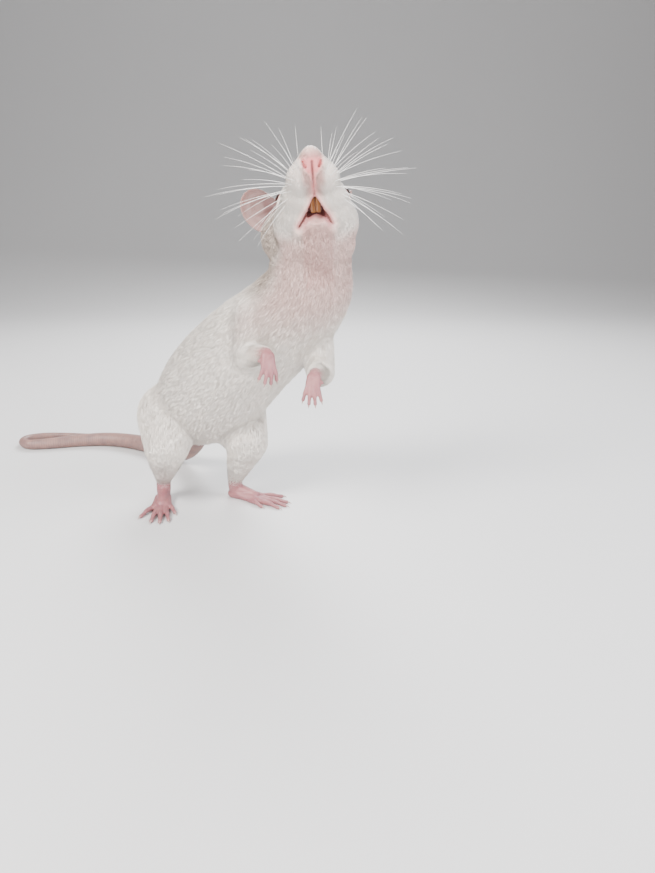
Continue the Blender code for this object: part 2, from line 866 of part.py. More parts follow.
def tail_points(stops):
    # Points (x, y, z, radius) of the tail at distances from its beginning, as shares of it
    path = tail_path()
    steps = np.linalg.norm(np.diff(path[:, :3], axis=0), axis=1)
    run = np.concatenate([[0], np.cumsum(steps)])
    stops = np.asarray(stops) * run[-1]
    return np.column_stack([np.interp(stops, run, path[:, axis]) for axis in range(4)])


def tail_place(share):
    here, on = tail_points([share, share + 0.01])[:, :3]
    return Vector(here), Vector(on - here).normalized()


def tail_lengths(parts):
    apart = 1.5 * GAP / TAIL_LENGTH
    bounds = (TAIL_ROOT_SHARE, *TAIL_CUTS, 1)
    for name, start, end in zip(TAIL_NAMES, bounds, bounds[1:]):
        stops = np.linspace(start + apart, end, TAIL_RINGS)
        tail_tube(name, tail_points(stops), parts)


def tail_tube(name, points, parts):
    data = bpy.data.curves.new(name, "CURVE")
    data.dimensions = "3D"
    data.bevel_depth = 1
    data.bevel_resolution = 2
    data.use_fill_caps = True
    spline = data.splines.new("POLY")
    spline.points.add(len(points) - 1)
    for spot, (x, y, z, radius) in zip(spline.points, points):
        spot.co = (x, y, z, 1)
        spot.radius = radius
    curve = bpy.data.objects.new(name + "_curve", data)
    parts.objects.link(curve)
    graph = bpy.context.evaluated_depsgraph_get()
    graph.update()
    skin = bpy.data.meshes.new_from_object(curve.evaluated_get(graph))
    tube = bpy.data.objects.new(name, skin)
    parts.objects.link(tube)
    discard(curve)
    mesh = bmesh.new()
    mesh.from_mesh(tube.data)
    bmesh.ops.remove_doubles(mesh, verts=mesh.verts, dist=mm(0.01))
    mesh.to_mesh(tube.data)
    mesh.free()
    return tube


def trim_flesh(flesh, cutters):
    # Squares off the flesh where the tail, the feet and the forepaws begin
    root, heading = tail_place(TAIL_ROOT_SHARE)
    trim(flesh, root, heading, mm(9), mm(14), cutters)
    for leg in HIND_LEGS.values():
        down = (leg["ankle"] - leg["knee"]).normalized()
        trim(flesh, leg["ankle"], down, mm(5), mm(8), cutters)
    for leg in FORELEGS.values():
        on = (leg["wrist"] - leg["elbow"]).normalized()
        trim(flesh, leg["wrist"], on, mm(4), mm(6), cutters)


def trim_feet(feet, paws, cutters):
    for side, foot in feet.items():
        leg = HIND_LEGS[side]
        down = (leg["ankle"] - leg["knee"]).normalized()
        trim(foot, leg["ankle"] + down * GAP, -down, mm(6), mm(12), cutters)
        floor = half_space(Vector(), Vector((0, 0, -1)), mm(60), "floor", cutters)
        boolean(foot, floor, "DIFFERENCE")
        discard(floor)
        keep_largest(foot)
    for side, paw in paws.items():
        leg = FORELEGS[side]
        on = (leg["wrist"] - leg["elbow"]).normalized()
        trim(paw, leg["wrist"] + on * GAP, -on, mm(4), mm(6), cutters)


def paint(parts):
    made = {name: material(name, *look) for name, look in SURFACES.items()}
    for obj in parts.objects:
        surface = BARE.get(obj.name.split("_")[0], "white_fur")
        obj.data.materials.clear()
        obj.data.materials.append(made[surface])
        obj.data.shade_smooth()


def centre_on_floor(parts):
    # Moves everything so that the origin is under the middle of the whole, on the floor
    corners = [v.co for obj in parts.objects for v in obj.data.vertices]
    low = Vector(map(min, zip(*corners)))
    high = Vector(map(max, zip(*corners)))
    shift = Vector((-(low.x + high.x) / 2, -(low.y + high.y) / 2, 0))
    for obj in parts.objects:
        obj.data.transform(Matrix.Translation(shift))


def build():
    clear_scene()
    parts = new_collection("pet_rat")
    cutters = new_collection("cutters")
    cutters.hide_render = True
    head = frame_of(NOSE_TIP, HEAD_FORWARD, HEAD_LEFT)

    mesh = bmesh.new()
    head_forms(mesh, head)
    jaw_forms(mesh, head)
    torso_forms(mesh)
    leg_forms(mesh)
    tail_root_forms(mesh)
    flesh = object_from(mesh, "abdomen", parts)
    fuse(flesh, HEAD_VOXEL, 10)

    # The head is parted first, so that it can keep more triangles than the body
    nape = head @ Vector((-0.86 * HEAD_LENGTH, 0, 0))
    toward_nose = head.to_3x3() @ Vector((1, 0, 0))
    cell = half_space(nape, toward_nose, mm(60), "cell", cutters)
    wider = half_space(nape - toward_nose * GAP, toward_nose, mm(60), "cell_grown", cutters)
    skull = carve(flesh, cell, wider, "head", parts)
    reduce(skull, HEAD_TRIANGLES)
    reduce(flesh, BODY_TRIANGLES)
    trim_flesh(flesh, cutters)
    carve_sockets(skull, head, cutters)
    carve_mouth(skull, head, cutters)
    carve_nostrils(skull, head, cutters)
    carve_philtrum(skull, head, cutters)
    part_jaw(skull, head, parts, cutters)
    keep_largest(skull)
    neighbours = [grown(piece, GAP, cutters) for piece in (skull, flesh)]
    for side in EARS:
        ear(side, head, neighbours, parts)
    incisors(head, neighbours, parts)
    discard(*neighbours)
    eyes(head, parts)
    add_whiskers(skull, head, cutters)

    part_forelegs(flesh, parts, cutters)
    part_hind_legs(flesh, parts, cutters)
    part_trunk(flesh, parts, cutters)
    feet = {side: hind_foot(side, leg, parts) for side, leg in HIND_LEGS.items()}
    paws = {side: forepaw(side, leg, parts) for side, leg in FORELEGS.items()}
    trim_feet(feet, paws, cutters)
    tail_lengths(parts)
    centre_on_floor(parts)
    paint(parts)
    return parts, cutters


build()
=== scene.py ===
import math

import bmesh
import bpy
import numpy as np
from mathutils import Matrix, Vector
from mathutils.bvhtree import BVHTree
from mathutils.kdtree import KDTree


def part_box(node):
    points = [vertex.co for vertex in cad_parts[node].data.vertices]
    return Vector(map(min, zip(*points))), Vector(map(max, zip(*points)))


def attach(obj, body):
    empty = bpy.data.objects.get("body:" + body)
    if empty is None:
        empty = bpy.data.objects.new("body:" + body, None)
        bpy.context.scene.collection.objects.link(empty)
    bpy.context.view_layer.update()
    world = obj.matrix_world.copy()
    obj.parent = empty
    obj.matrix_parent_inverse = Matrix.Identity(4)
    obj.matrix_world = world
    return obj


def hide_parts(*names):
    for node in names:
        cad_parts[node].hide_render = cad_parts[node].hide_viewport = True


# A pet rat reared up on its hind feet: one skin, a coat of solid tufts, whiskers, eyes, teeth
# and claws. Shapes are worked out in millimetres, and turned into metres in makeObject.
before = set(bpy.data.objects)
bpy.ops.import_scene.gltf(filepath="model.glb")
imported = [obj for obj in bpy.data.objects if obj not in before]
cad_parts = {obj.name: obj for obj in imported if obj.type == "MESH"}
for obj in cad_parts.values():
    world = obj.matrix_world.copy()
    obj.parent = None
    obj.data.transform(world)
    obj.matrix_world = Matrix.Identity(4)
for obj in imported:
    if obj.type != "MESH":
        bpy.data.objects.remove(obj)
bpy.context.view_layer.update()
millimetre = 0.001
draw = np.random.default_rng(11)


# Sums on arrays of points


def unit(vectors):
    vectors = np.asarray(vectors, float)
    return vectors / np.maximum(np.linalg.norm(vectors, axis=-1, keepdims=True), 1e-9)


def ease(value, low, high):  # 0 at low, 1 at high, an s-curve between them
    share = np.clip((value - low) / (high - low), 0, 1)
    return share * share * (3 - 2 * share)


def smoothPath(knots, steps):  # Catmull-Rom curve through the knots, whatever their columns
    knots = np.asarray(knots, float)
    padded = np.vstack([2 * knots[0] - knots[1], knots, 2 * knots[-1] - knots[-2]])
    a, b, c, d = (padded[k : len(padded) - 3 + k, None, :] for k in range(4))
    t = np.linspace(0, 1, steps, endpoint=False)[None, :, None]
    cubic = (-a + 3 * b - 3 * c + d) * t**3
    curve = b + 0.5 * ((c - a) * t + (2 * a - 5 * b + 4 * c - d) * t**2 + cubic)
    return np.vstack([curve.reshape(-1, knots.shape[1]), knots[-1:]])


def stepsAlong(line):
    return np.linalg.norm(np.diff(line[:, :3], axis=0), axis=1)


def runsAlong(line):  # the way along a line from its start to each of its knots
    return np.concatenate([[0], np.cumsum(stepsAlong(line))])


def atRuns(run, stops, columns):  # what the columns hold at the stops, at any runs between them
    return np.column_stack([np.interp(run, stops, column) for column in columns.T])


def followLine(points, line):
    # Nearest place on a line of rows (x, y, z, radius) to each point: its distance as a share
    # of the radius there, the line's direction, and the run from the line's start
    near = np.full(len(points), np.inf)
    heading = np.zeros((len(points), 3))
    run = np.zeros(len(points))
    for a, b, step, begun in zip(line[:-1], line[1:], stepsAlong(line), runsAlong(line)):
        along = (b[:3] - a[:3]) / step
        share = np.clip((points - a[:3]) @ along / step, 0, 1)
        offset = points - a[:3] - share[:, None] * along * step
        far = np.linalg.norm(offset, axis=1) / (a[3] + share * (b[3] - a[3]))
        closer = far < near
        near[closer] = far[closer]
        heading[closer] = along
        run[closer] = (begun + share * step)[closer]
    return near, heading, run


# Where things are. The stance's own millimetres are moved into the frame by the left eye's
# place there.
pose = {
    "noseTip": (44.3, -23.0, 137.0),
    "forward": (-0.05, -0.467, 0.883),
    "left": (0.996, 0.060, 0.082),
    "eye": (-21.5, 10.2, 5.4),  # forward, left and up from the tip of the nose
    "eyeOut": (0.30, 0.86, 0.42),
    "eyeRadius": 3.1,
}
headForward = unit(pose["forward"])
headUp = unit(np.cross(headForward, pose["left"]))
headLeft = np.cross(headUp, headForward)
headAxes = np.stack([headForward, headLeft, headUp])
leftEye = np.mean([tuple(corner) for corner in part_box("eye_left")], axis=0) / millimetre
noseTip = leftEye - np.array(pose["eye"]) @ headAxes
stanceShift = noseTip - np.array(pose["noseTip"])


def onHead(places):  # forward, left and up from the nose tip, as points of the frame
    return noseTip + np.asarray(places, float) @ headAxes


def headPlaces(points):
    return (points - noseTip) @ headAxes.T


def stance(rows):  # rows of stance x, y, z and perhaps a radius, moved into the frame
    rows = np.array(rows, float)
    rows[..., :3] += stanceShift
    return rows


hindLegs = {
    "right": {
        "line": ((-15.5, 14, 35, 14), (-15, -1, 25, 8.4), (-19, 7, 9.5, 3.3)),
        "heel": (-19.5, 9, 0),
        "toesTo": (0.12, -0.99, 0),
        "inward": 1,
    },
    "left": {
        "line": ((9.5, 21.5, 34, 14), (17, 6.5, 25.5, 8.4), (11, 7.5, 9.5, 3.3)),
        "heel": (8.3, 10.2, 0),
        "toesTo": (0.90, -0.43, 0),
        "inward": -1,
    },
}
forelegs = {
    "right": {
        "line": ((24, -9, 80, 8.2), (20.5, -14.5, 66, 5.2), (29, -31.5, 70, 2.3)),
        "pawTo": (0.10, -0.50, -0.86),
        "inward": 1,
    },
    "left": {
        "line": ((44, -4, 73, 8.2), (47.5, -11, 58.5, 5.2), (45.5, -28.5, 62, 2.3)),
        "pawTo": (-0.10, -0.52, -0.85),
        "inward": -1,
    },
}
toes = {
    "footLength": 28.5,
    "pawLength": 11,
    "hindTips": ((0.66, 0.20), (0.90, 0.135), (0.95, 0.02), (0.91, -0.10), (0.74, -0.26)),
    "hindBases": ((0.42, 0.105), (0.60, 0.075), (0.62, 0.01), (0.59, -0.06), (0.45, -0.115)),
    "foreTips": ((0.80, 0.30), (0.93, 0.12), (0.94, -0.08), (0.82, -0.28)),
    "foreBases": ((0.44, 0.17), (0.50, 0.06), (0.50, -0.06), (0.44, -0.17)),
    "hindRadius": 1.0,
    "foreRadius": 0.82,
}
tailKnots = (
    (-8, 26, 32, 6.5),
    (-9, 33, 24, 5.4),
    (-12, 41, 14, 4.9),
    (-20, 50, 6.2, 4.6),
    (-33, 61, 4.2, 4.2),
    (-48, 71.5, 3.8, 3.8),
    (-64, 77, 3.45, 3.45),
    (-79, 76, 3.1, 3.1),
    (-92, 72.5, 2.75, 2.75),
    (-102, 71.5, 2.45, 2.45),
    (-107.5, 76, 2.2, 2.2),
    (-107.5, 83, 1.95, 1.95),
    (-101, 88, 1.7, 1.7),
    (-91, 90, 1.4, 1.4),
    (-80, 90.5, 1.1, 1.1),
    (-70, 91.5, 0.8, 0.8),
)
headLine = ((0.5, 0, -1, 3.4), (-10, 0, -1.5, 8), (-22, 0, -1, 12.5), (-33, 0, -1, 14.2))
spineKnots = (
    (44, -5.5, 98, 15.2),
    (42, -4.8, 87, 16.6),
    (32.5, -1, 76, 18.2),
    (18, 6, 63, 20.5),
    (6, 12.5, 50, 21.8),
    (-3, 18, 39, 19.8),
    (-7, 22, 31, 15),
)


def linesOfBody():
    # The lines that the coat lies along, each from the nose or the hip outward
    head = np.column_stack([onHead(np.array(headLine)[:, :3]), np.array(headLine)[:, 3]])
    lines = {"trunk": smoothPath(np.vstack([head, stance(spineKnots)]), 4)}
    for side, leg in hindLegs.items():
        foot = np.array([leg["heel"] for turn in range(2)], float)
        foot += np.outer((0.3, 0.95), leg["toesTo"]) * toes["footLength"] + (0, 0, 2.5)
        foot = stance(np.column_stack([foot, (4.5, 4.5)]))
        lines["hind_" + side] = smoothPath(np.vstack([stance(leg["line"]), foot]), 4)
    for side, leg in forelegs.items():
        joints = stance(leg["line"])
        paw = joints[-1, :3] + np.outer((4, 12), unit(leg["pawTo"]))
        paw = np.column_stack([paw, (2.8, 3.2)])
        lines["fore_" + side] = smoothPath(np.vstack([joints, paw]), 4)
    lines["tail"] = smoothPath(stance(tailKnots), 6)
    return lines


bodyLines = linesOfBody()
print("places read from the frame")


# Meshes from arrays


def ringFaces(rows, columns):
    # Triangles of a surface closed round its columns, with a pole added at each end
    row, column = np.meshgrid(np.arange(rows - 1), np.arange(columns), indexing="ij")
    here = (row * columns + column).ravel()
    beside = (row * columns + (column + 1) % columns).ravel()
    walls = [
        np.column_stack([here, beside, beside + columns]),
        np.column_stack([here, beside + columns, here + columns]),
    ]
    turn = np.arange(columns)
    after = (turn + 1) % columns
    last = (rows - 1) * columns
    first, final = np.full(columns, rows * columns), np.full(columns, rows * columns + 1)
    caps = [
        np.column_stack([first, after, turn]),
        np.column_stack([final, last + turn, last + after]),
    ]
    return np.vstack(walls + caps)


def ringPoints(rings):  # rings (..., rows, columns, 3) as points with the two poles last
    lead = rings.shape[:-3]
    poles = np.stack([rings[..., 0, :, :].mean(-2), rings[..., -1, :, :].mean(-2)], axis=-2)
    return np.concatenate([rings.reshape(*lead, -1, 3), poles], axis=-2)


def outward(points, faces):  # turns all faces round where the volume inside comes out negative
    a, b, c = (points[faces[:, k]] for k in range(3))
    return faces[:, ::-1] if np.einsum("ij,ij->i", a, np.cross(b, c)).sum() < 0 else faces


def closedRings(rings):
    points = ringPoints(rings)
    faces = ringFaces(*rings.shape[:2])
    return points, outward(points - points.mean(0), faces)


def tube(path, radii, sides, flat=1.0, reference=(0, 0, 1)):
    # Circles of the given radii square to the path, flattened along the reference
    ahead = unit(np.gradient(path, axis=0))
    across = unit(np.cross(ahead, np.asarray(reference, float)))
    upright = np.cross(across, ahead)
    turn = np.linspace(0, 2 * math.pi, sides, endpoint=False)[None, :, None]
    spread = np.cos(turn) * across[:, None] + flat * np.sin(turn) * upright[:, None]
    return path[:, None] + np.asarray(radii)[:, None, None] * spread


def makeObject(name, points, faces):
    mesh = bpy.data.meshes.new(name)
    mesh.vertices.add(len(points))
    mesh.vertices.foreach_set("co", (points * millimetre).astype(np.float32).ravel())
    mesh.loops.add(faces.size)
    mesh.loops.foreach_set("vertex_index", faces.astype(np.int32).ravel())
    mesh.polygons.add(len(faces))
    corner = np.arange(0, faces.size, faces.shape[1], dtype=np.int32)
    mesh.polygons.foreach_set("loop_start", corner)
    mesh.update(calc_edges=True)
    mesh.shade_smooth()
    obj = bpy.data.objects.new(name, mesh)
    bpy.context.scene.collection.objects.link(obj)
    return obj


def setValues(obj, name, values):  # a number at each vertex, for the material
    layer = obj.data.attributes.new(name, "FLOAT", "POINT")
    layer.data.foreach_set("value", np.asarray(values, np.float32))


def readObject(obj):  # points in millimetres and triangles of the object as it is evaluated
    graph = bpy.context.evaluated_depsgraph_get()
    graph.update()
    mesh = bpy.data.meshes.new_from_object(obj.evaluated_get(graph))
    points = np.empty(len(mesh.vertices) * 3, np.float32)
    mesh.vertices.foreach_get("co", points)
    mesh.calc_loop_triangles()
    faces = np.empty(len(mesh.loop_triangles) * 3, np.int32)
    mesh.loop_triangles.foreach_get("vertices", faces)
    bpy.data.meshes.remove(mesh)
    return points.reshape(-1, 3).astype(float) / millimetre, faces.reshape(-1, 3)


def takeObject(obj):  # the same, and then the object is gone
    points, faces = readObject(obj)
    mesh = obj.data
    bpy.data.objects.remove(obj)
    bpy.data.meshes.remove(mesh)
    return points, faces


def repeated(faces, corners, count):  # the faces of count like meshes, each with so many corners
    return (faces[None] + corners * np.arange(count)[:, None, None]).reshape(-1, 3)


def tubesObject(name, rings):  # one piece of many like tubes, each closed by its two poles
    points = ringPoints(rings)
    one = outward(points[0] - points[0].mean(0), ringFaces(*rings.shape[1:3]))
    faces = repeated(one, points.shape[1], len(points))
    return makeObject(name, points.reshape(-1, 3), faces)


def joined(surfaces):  # many meshes as one, and where the points of each start
    starts = np.cumsum([0] + [len(points) for points, _ in surfaces])
    faces = [corners + start for (_, corners), start in zip(surfaces, starts)]
    return np.vstack([points for points, _ in surfaces]), np.vstack(faces), starts


def treeOfFaces(points, faces):
    return BVHTree.FromPolygons(points.tolist(), faces.tolist())


def reworked(points, faces, change):  # the mesh after a change that is made on it by bmesh
    lump = makeObject("lump", points, faces)
    mesh = bmesh.new()
    mesh.from_mesh(lump.data)
    mesh.verts.ensure_lookup_table()
    change(mesh)
    bmesh.ops.triangulate(mesh, faces=mesh.faces)
    mesh.to_mesh(lump.data)
    mesh.free()
    return takeObject(lump)


def mergeDoubles(points, faces):
    rounded = np.round(points, 3)
    _, first, index = np.unique(rounded, axis=0, return_index=True, return_inverse=True)
    faces = index.reshape(-1)[faces]
    a, b, c = faces.T
    return points[first], faces[(a != b) & (b != c) & (a != c)]


def vertexNormals(points, faces):
    a, b, c = (points[faces[:, k]] for k in range(3))
    normal = np.cross(b - a, c - a)
    total = np.zeros_like(points)
    for axis in range(3):
        for corner in range(3):
            total[:, axis] += np.bincount(faces[:, corner], normal[:, axis], len(points))
    return unit(total)


def edgesOf(faces):
    pairs = np.concatenate([faces[:, [0, 1]], faces[:, [1, 2]], faces[:, [2, 0]]])
    return np.unique(np.sort(pairs, axis=1), axis=0)


def neighbourMean(values, edges, count):  # mean over each vertex's neighbours
    degree = np.bincount(edges.ravel(), minlength=count)
    total = np.empty_like(values)
    for axis in range(values.shape[1]):
        ends = values[:, axis]
        total[:, axis] = np.bincount(edges[:, 0], ends[edges[:, 1]], count)
        total[:, axis] += np.bincount(edges[:, 1], ends[edges[:, 0]], count)
    return total / np.maximum(degree, 1)[:, None]


def relax(points, edges, rounds, weight):
    # Taubin smoothing: a step toward the neighbours' mean, then a slightly larger one back
    for turn in range(rounds):
        for factor in (0.55, -0.57):
            step = neighbourMean(points, edges, len(points)) - points
            points = points + factor * weight[:, None] * step
    return points


def largestPiece(points, faces):
    # Labels of joined vertices by repeated hooking to the lowest label, then the biggest stays
    edges = edgesOf(faces)
    label = np.arange(len(points))
    while True:
        low = np.minimum(label[edges[:, 0]], label[edges[:, 1]])
        fresh = label.copy()
        np.minimum.at(fresh, label[edges[:, 0]], low)
        np.minimum.at(fresh, label[edges[:, 1]], low)
        fresh = fresh[fresh]
        if (fresh == label).all():
            break
        label = fresh
    keep = label == np.bincount(label).argmax()
    index = np.cumsum(keep) - 1
    return points[keep], index[faces[keep[faces[:, 0]]]]


# The solids' coarse whiskers, which have to be lifted off the head before it is fused
whiskerFan = {
    "count": 11,
    "tubeRadius": 0.32,
    "margin": 0.12,  # how far off a tube its vertices are still deleted
    "stops": 80,
}


def coarseWhiskers():
    share = np.linspace(0, 1, whiskerFan["count"])[None, :]
    side = np.array([-1.0, 1.0])[:, None]
    angle = np.radians(76 - 122 * share)
    row = np.arange(whiskerFan["count"]) % 3 - 1
    roots = [-8.5 - 7 * share + 0 * side, (5.4 + 3.8 * share) * side, -2.4 + 1.7 * row + 0 * side]
    out = [np.sin(angle) + 0 * side, np.cos(angle) * side, 0.08 * row - 0.1 + 0 * side]
    length = 25 + 5 * np.sin(math.pi * share) + 0 * side
    roots, out = (np.stack(v, axis=-1).reshape(-1, 3) for v in (roots, out))
    run = np.linspace(0, 1, whiskerFan["stops"])[None, :, None]
    bend = np.array((-0.9, 0, 0.45)) * 0.16 * run**2
    length = length.reshape(-1, 1, 1)
    return onHead(roots[:, None] + (unit(out)[:, None] * run + bend) * length).reshape(-1, 3)


def withoutWhiskers(points, faces):
    # Deletes every vertex on a whisker's tube, and closes the small holes that this leaves
    centres = coarseWhiskers()
    near = np.full(len(points), np.inf)
    for start in range(0, len(centres), whiskerFan["stops"]):
        apart = points[:, None] - centres[None, start : start + whiskerFan["stops"]]
        near = np.minimum(near, np.linalg.norm(apart, axis=2).min(axis=1))
    lost = np.flatnonzero(near < whiskerFan["tubeRadius"] + whiskerFan["margin"])

    def shave(mesh):
        bmesh.ops.delete(mesh, geom=[mesh.verts[k] for k in lost], context="VERTS")
        rims = [edge for edge in mesh.edges if edge.is_boundary]
        bmesh.ops.holes_fill(mesh, edges=rims, sides=0)

    return largestPiece(*reworked(points, faces, shave))


# The skin
skin = {
    "voxel": 0.3,
    "swell": 0.2,  # closes the gaps between the solids
    "underCoat": 42000,  # triangles left where the coat hides the skin
    "notFace": 72000,  # and then with the feet and paws
    "featured": (-9, 2.2, 5.4),  # what stays whole of the face: see nearFeatures
    "fine": (-10, 1.5, 4.6),  # what is divided once more
}
fleshNodes = ["head", "lower_jaw", "neck", "chest", "abdomen"]
for limb in ("upper_arm", "forearm", "thigh", "shank"):
    fleshNodes += [limb + "_left", limb + "_right"]
otherFlesh = ["ear_left", "ear_right", "tail_base", "tail_middle", "tail_end", "tail_tip"]
otherFlesh += ["forepaw_left", "forepaw_right", "hind_foot_left", "hind_foot_right"]


def nodeSurface(name):
    points, faces = mergeDoubles(*readObject(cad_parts[name]))
    if name == "head":
        points, faces = withoutWhiskers(points, faces)
    return points + skin["swell"] * vertexNormals(points, faces), faces


def extremity(kind, side):
    # The frame of a foot or paw: a function from shares of its length forward, toward the
    # other foot, and a height in millimetres, to a point
    if kind == "hind":
        leg, length = hindLegs[side], toes["footLength"]
        ahead = unit(leg["toesTo"])
        inward = leg["inward"] * np.array([-ahead[1], ahead[0], 0])
        origin = stance([leg["heel"]])[0]
        up = np.array([0, 0, 1.0])
    else:
        leg, length = forelegs[side], toes["pawLength"]
        joints = stance(leg["line"])[:, :3]
        forearm = unit(joints[2] - joints[1])
        ahead = unit(leg["pawTo"])
        across = unit(np.cross(ahead, forearm))
        up = np.cross(across, ahead)
        inward = leg["inward"] * across
        origin = joints[2] + 1.2 * forearm

    def place(forward, inner, height):
        return origin + (forward * ahead + inner * inward) * length + height * up

    return place, up


def toePlaces(kind, side):  # base, knuckle and tip of each toe, and the way its back faces
    place, up = extremity(kind, side)
    heights = (1.2, 0.45, 0.65) if kind == "hind" else (0.2, 0.6, -1.3)
    base = np.array([place(*spot, heights[0]) for spot in toes[kind + "Bases"]])
    tip = np.array([place(*spot, heights[2]) for spot in toes[kind + "Tips"]])
    return base, (base + tip) / 2 + heights[1] * up, tip, up


def roundLimb(knots, sides=14, reference=(0.3, 0.2, 0.93)):
    # A closed tube with round ends through knots of (x, y, z, radius)
    path = smoothPath(knots, 5)
    turn = np.radians((8, 32, 58))[:, None]
    ends = []
    for end, inner in ((path[0], path[1]), (path[-1], path[-2])):
        away = unit(end[:3] - inner[:3])
        centres = end[:3] + away * end[3] * np.cos(turn)
        ends.append(np.column_stack([centres, end[3] * np.sin(turn)]))
    path = np.vstack([ends[0], path, ends[1][::-1]])
    return closedRings(tube(path[:, :3], path[:, 3], sides, reference=reference))


def knotted(*knots):  # rows (x, y, z, radius) from pairs of a place and a radius
    return np.array([(*place, radius) for place, radius in knots])


def toeLimbs(kind, side, fromShare, radii):
    # One limb for each toe, from inside the foot over two joints to the pad at its tip
    place, up = extremity(kind, side)
    base, knuckle, tip, _ = toePlaces(kind, side)
    made = []
    for start, joint, end, (on, inner) in zip(base, knuckle, tip, toes[kind + "Bases"]):
        root = place(on * fromShare, inner * 0.7, 0.55 if kind == "fore" else 2.3)
        second = joint + 0.55 * (end - joint) - 0.05 * up
        knots = ((root, radii[0]), (start, radii[1]), (joint, radii[2]), (second, radii[3]))
        made.append(roundLimb(knotted(*knots, (end, radii[4])), reference=up + 0.05))
    return made


def hindFootForms(side):
    place, _ = extremity("hind", side)
    knee, ankle = stance(hindLegs[side]["line"])[1:, :3]
    shin = unit(knee - ankle)
    made = [roundLimb(knotted((ankle + 3 * shin, 3.3), (ankle, 3.15), (place(0.1, 0, 3.5), 2.9)))]
    for inner in (-0.045, 0.045):
        heel, arch = place(0.055, 0.4 * inner, 1.7), place(0.28, inner, 1.75)
        ball = place(0.5, 1.6 * inner, 1.4)
        made.append(roundLimb(knotted((heel, 2.1), (arch, 1.95), (ball, 1.6))))
    made.append(roundLimb(knotted((place(0.12, 0, 3.9), 2.7), (place(0.45, 0, 2.4), 1.7))))
    return made + toeLimbs("hind", side, 0.45, (1.15, 1.12, 0.92, 0.74, 0.8))


def forepawForms(side):
    place, _ = extremity("fore", side)
    elbow, wrist = stance(forelegs[side]["line"])[1:, :3]
    on = unit(wrist - elbow)
    cuff = knotted((wrist - 3 * on, 2.35), (wrist, 2.2), (place(0.1, 0, 0), 2.0))
    made = [roundLimb(cuff)]
    for inner in (-0.09, 0.0, 0.09):
        palm = knotted((place(0.08, inner, 0), 1.55), (place(0.36, 1.5 * inner, -0.2), 1.3))
        made.append(roundLimb(palm))
    thumb = knotted((place(0.16, 0.16, -0.5), 0.8), (place(0.24, 0.27, -0.9), 0.62))
    made.append(roundLimb(thumb))
    return made + toeLimbs("fore", side, 0.35, (0.95, 0.86, 0.74, 0.62, 0.66))


def fusedFlesh():
    # The flesh solids, a little swollen, with feet and paws, made one mesh by a voxel remesh
    surfaces = [nodeSurface(name) for name in fleshNodes]
    for side in ("right", "left"):
        surfaces += hindFootForms(side) + forepawForms(side)
    lump = makeObject("flesh", *joined(surfaces)[:2])
    remesh = lump.modifiers.new("fuse", "REMESH")
    remesh.mode = "VOXEL"
    remesh.voxel_size = skin["voxel"] * millimetre
    points, faces = takeObject(lump)
    points[:, 2] = np.maximum(points[:, 2], 0)
    return largestPiece(points, faces)


# How the coat lies, and how deep and long it is, at any points of the body
coatDepths = {
    "headRun": (-46, -38, -30, -22, -16, -10, -5, -1),
    "headDepth": (1.45, 1.2, 0.85, 0.6, 0.42, 0.3, 0.2, 0.14),
    "hindRun": (0, 17, 27, 35, 41),
    "hindDepth": (1.6, 1.2, 0.8, 0.35, 0.1),
    "foreRun": (0, 14, 24, 33, 37),
    "foreDepth": (1.4, 0.95, 0.55, 0.2, 0),
    "tailRun": (0, 8, 14, 18),
    "tailDepth": (1.4, 0.8, 0.25, 0),
    "body": 1.6,
}


def bodyFields(points):
    # Blends the lines' directions by how near each is, as a high power of its share of the radius
    weights, heading, depth = 0, 0, 0
    found = {}
    for name, line in bodyLines.items():
        near, along, run = followLine(points, line)
        weight = np.maximum(near, 0.2) ** -7.0
        kind = name.split("_")[0]
        if kind == "trunk":
            depthHere = np.full(len(points), coatDepths["body"])
        else:
            depthHere = np.interp(run, coatDepths[kind + "Run"], coatDepths[kind + "Depth"])
        weights = weights + weight
        heading = heading + weight[:, None] * along
        depth = depth + weight * depthHere
        found[name] = (near, run, weight)
    depth = depth / weights
    forward = headPlaces(points)[:, 0]
    headDepth = np.interp(forward, coatDepths["headRun"], coatDepths["headDepth"])
    onlyHead = ease(forward, -47, -40)
    depth = depth * (1 - onlyHead) + headDepth * onlyHead
    depth = depth * ease(points[:, 2], 3.6, 12)  # thins out over the ankles
    shares = {name: value[2] / weights for name, value in found.items()}
    runs = {name: value[1] for name, value in found.items()}
    return unit(heading), depth, shares, runs


def mouthOpening(points):
    # How far inside the mouth's outline a point lies, looking along the wedge of its opening
    forward, left, up = headPlaces(points).T
    share = (up + 18) / 12.6
    forward = (forward + 2.9 * share) / (1 - 0.14 * share)
    wide = np.abs(left) / (1 - 0.28 * share)
    halfWidth = np.interp(forward, (-22.8, -17.4, -13.2), (6.0, 3.2, 0.0))
    lowerLip = np.interp(wide, (0, 3.9, 6.0), (-20.0, -20.3, -22.8))
    return np.minimum(halfWidth - wide, forward - lowerLip)


def findLining(points, faces):
    # The mouth's lining is the skin near its outline that faces other skin close by
    normals = vertexNormals(points, faces)
    forward, left, up = headPlaces(points).T
    near = (forward > -28) & (forward < -9) & (np.abs(left) < 9) & (up < -2)
    index = np.cumsum(near) - 1
    close = faces[near[faces].all(axis=1)]
    tree = treeOfFaces(points[near], index[close])
    lining = []
    for k in np.flatnonzero(near & (np.abs(mouthOpening(points)) < 2.2) & (up < -4)):
        start = Vector(points[k] + 0.08 * normals[k])
        if tree.ray_cast(start, Vector(normals[k]), 7.0)[0] is not None:
            lining.append(points[k])
    return lining


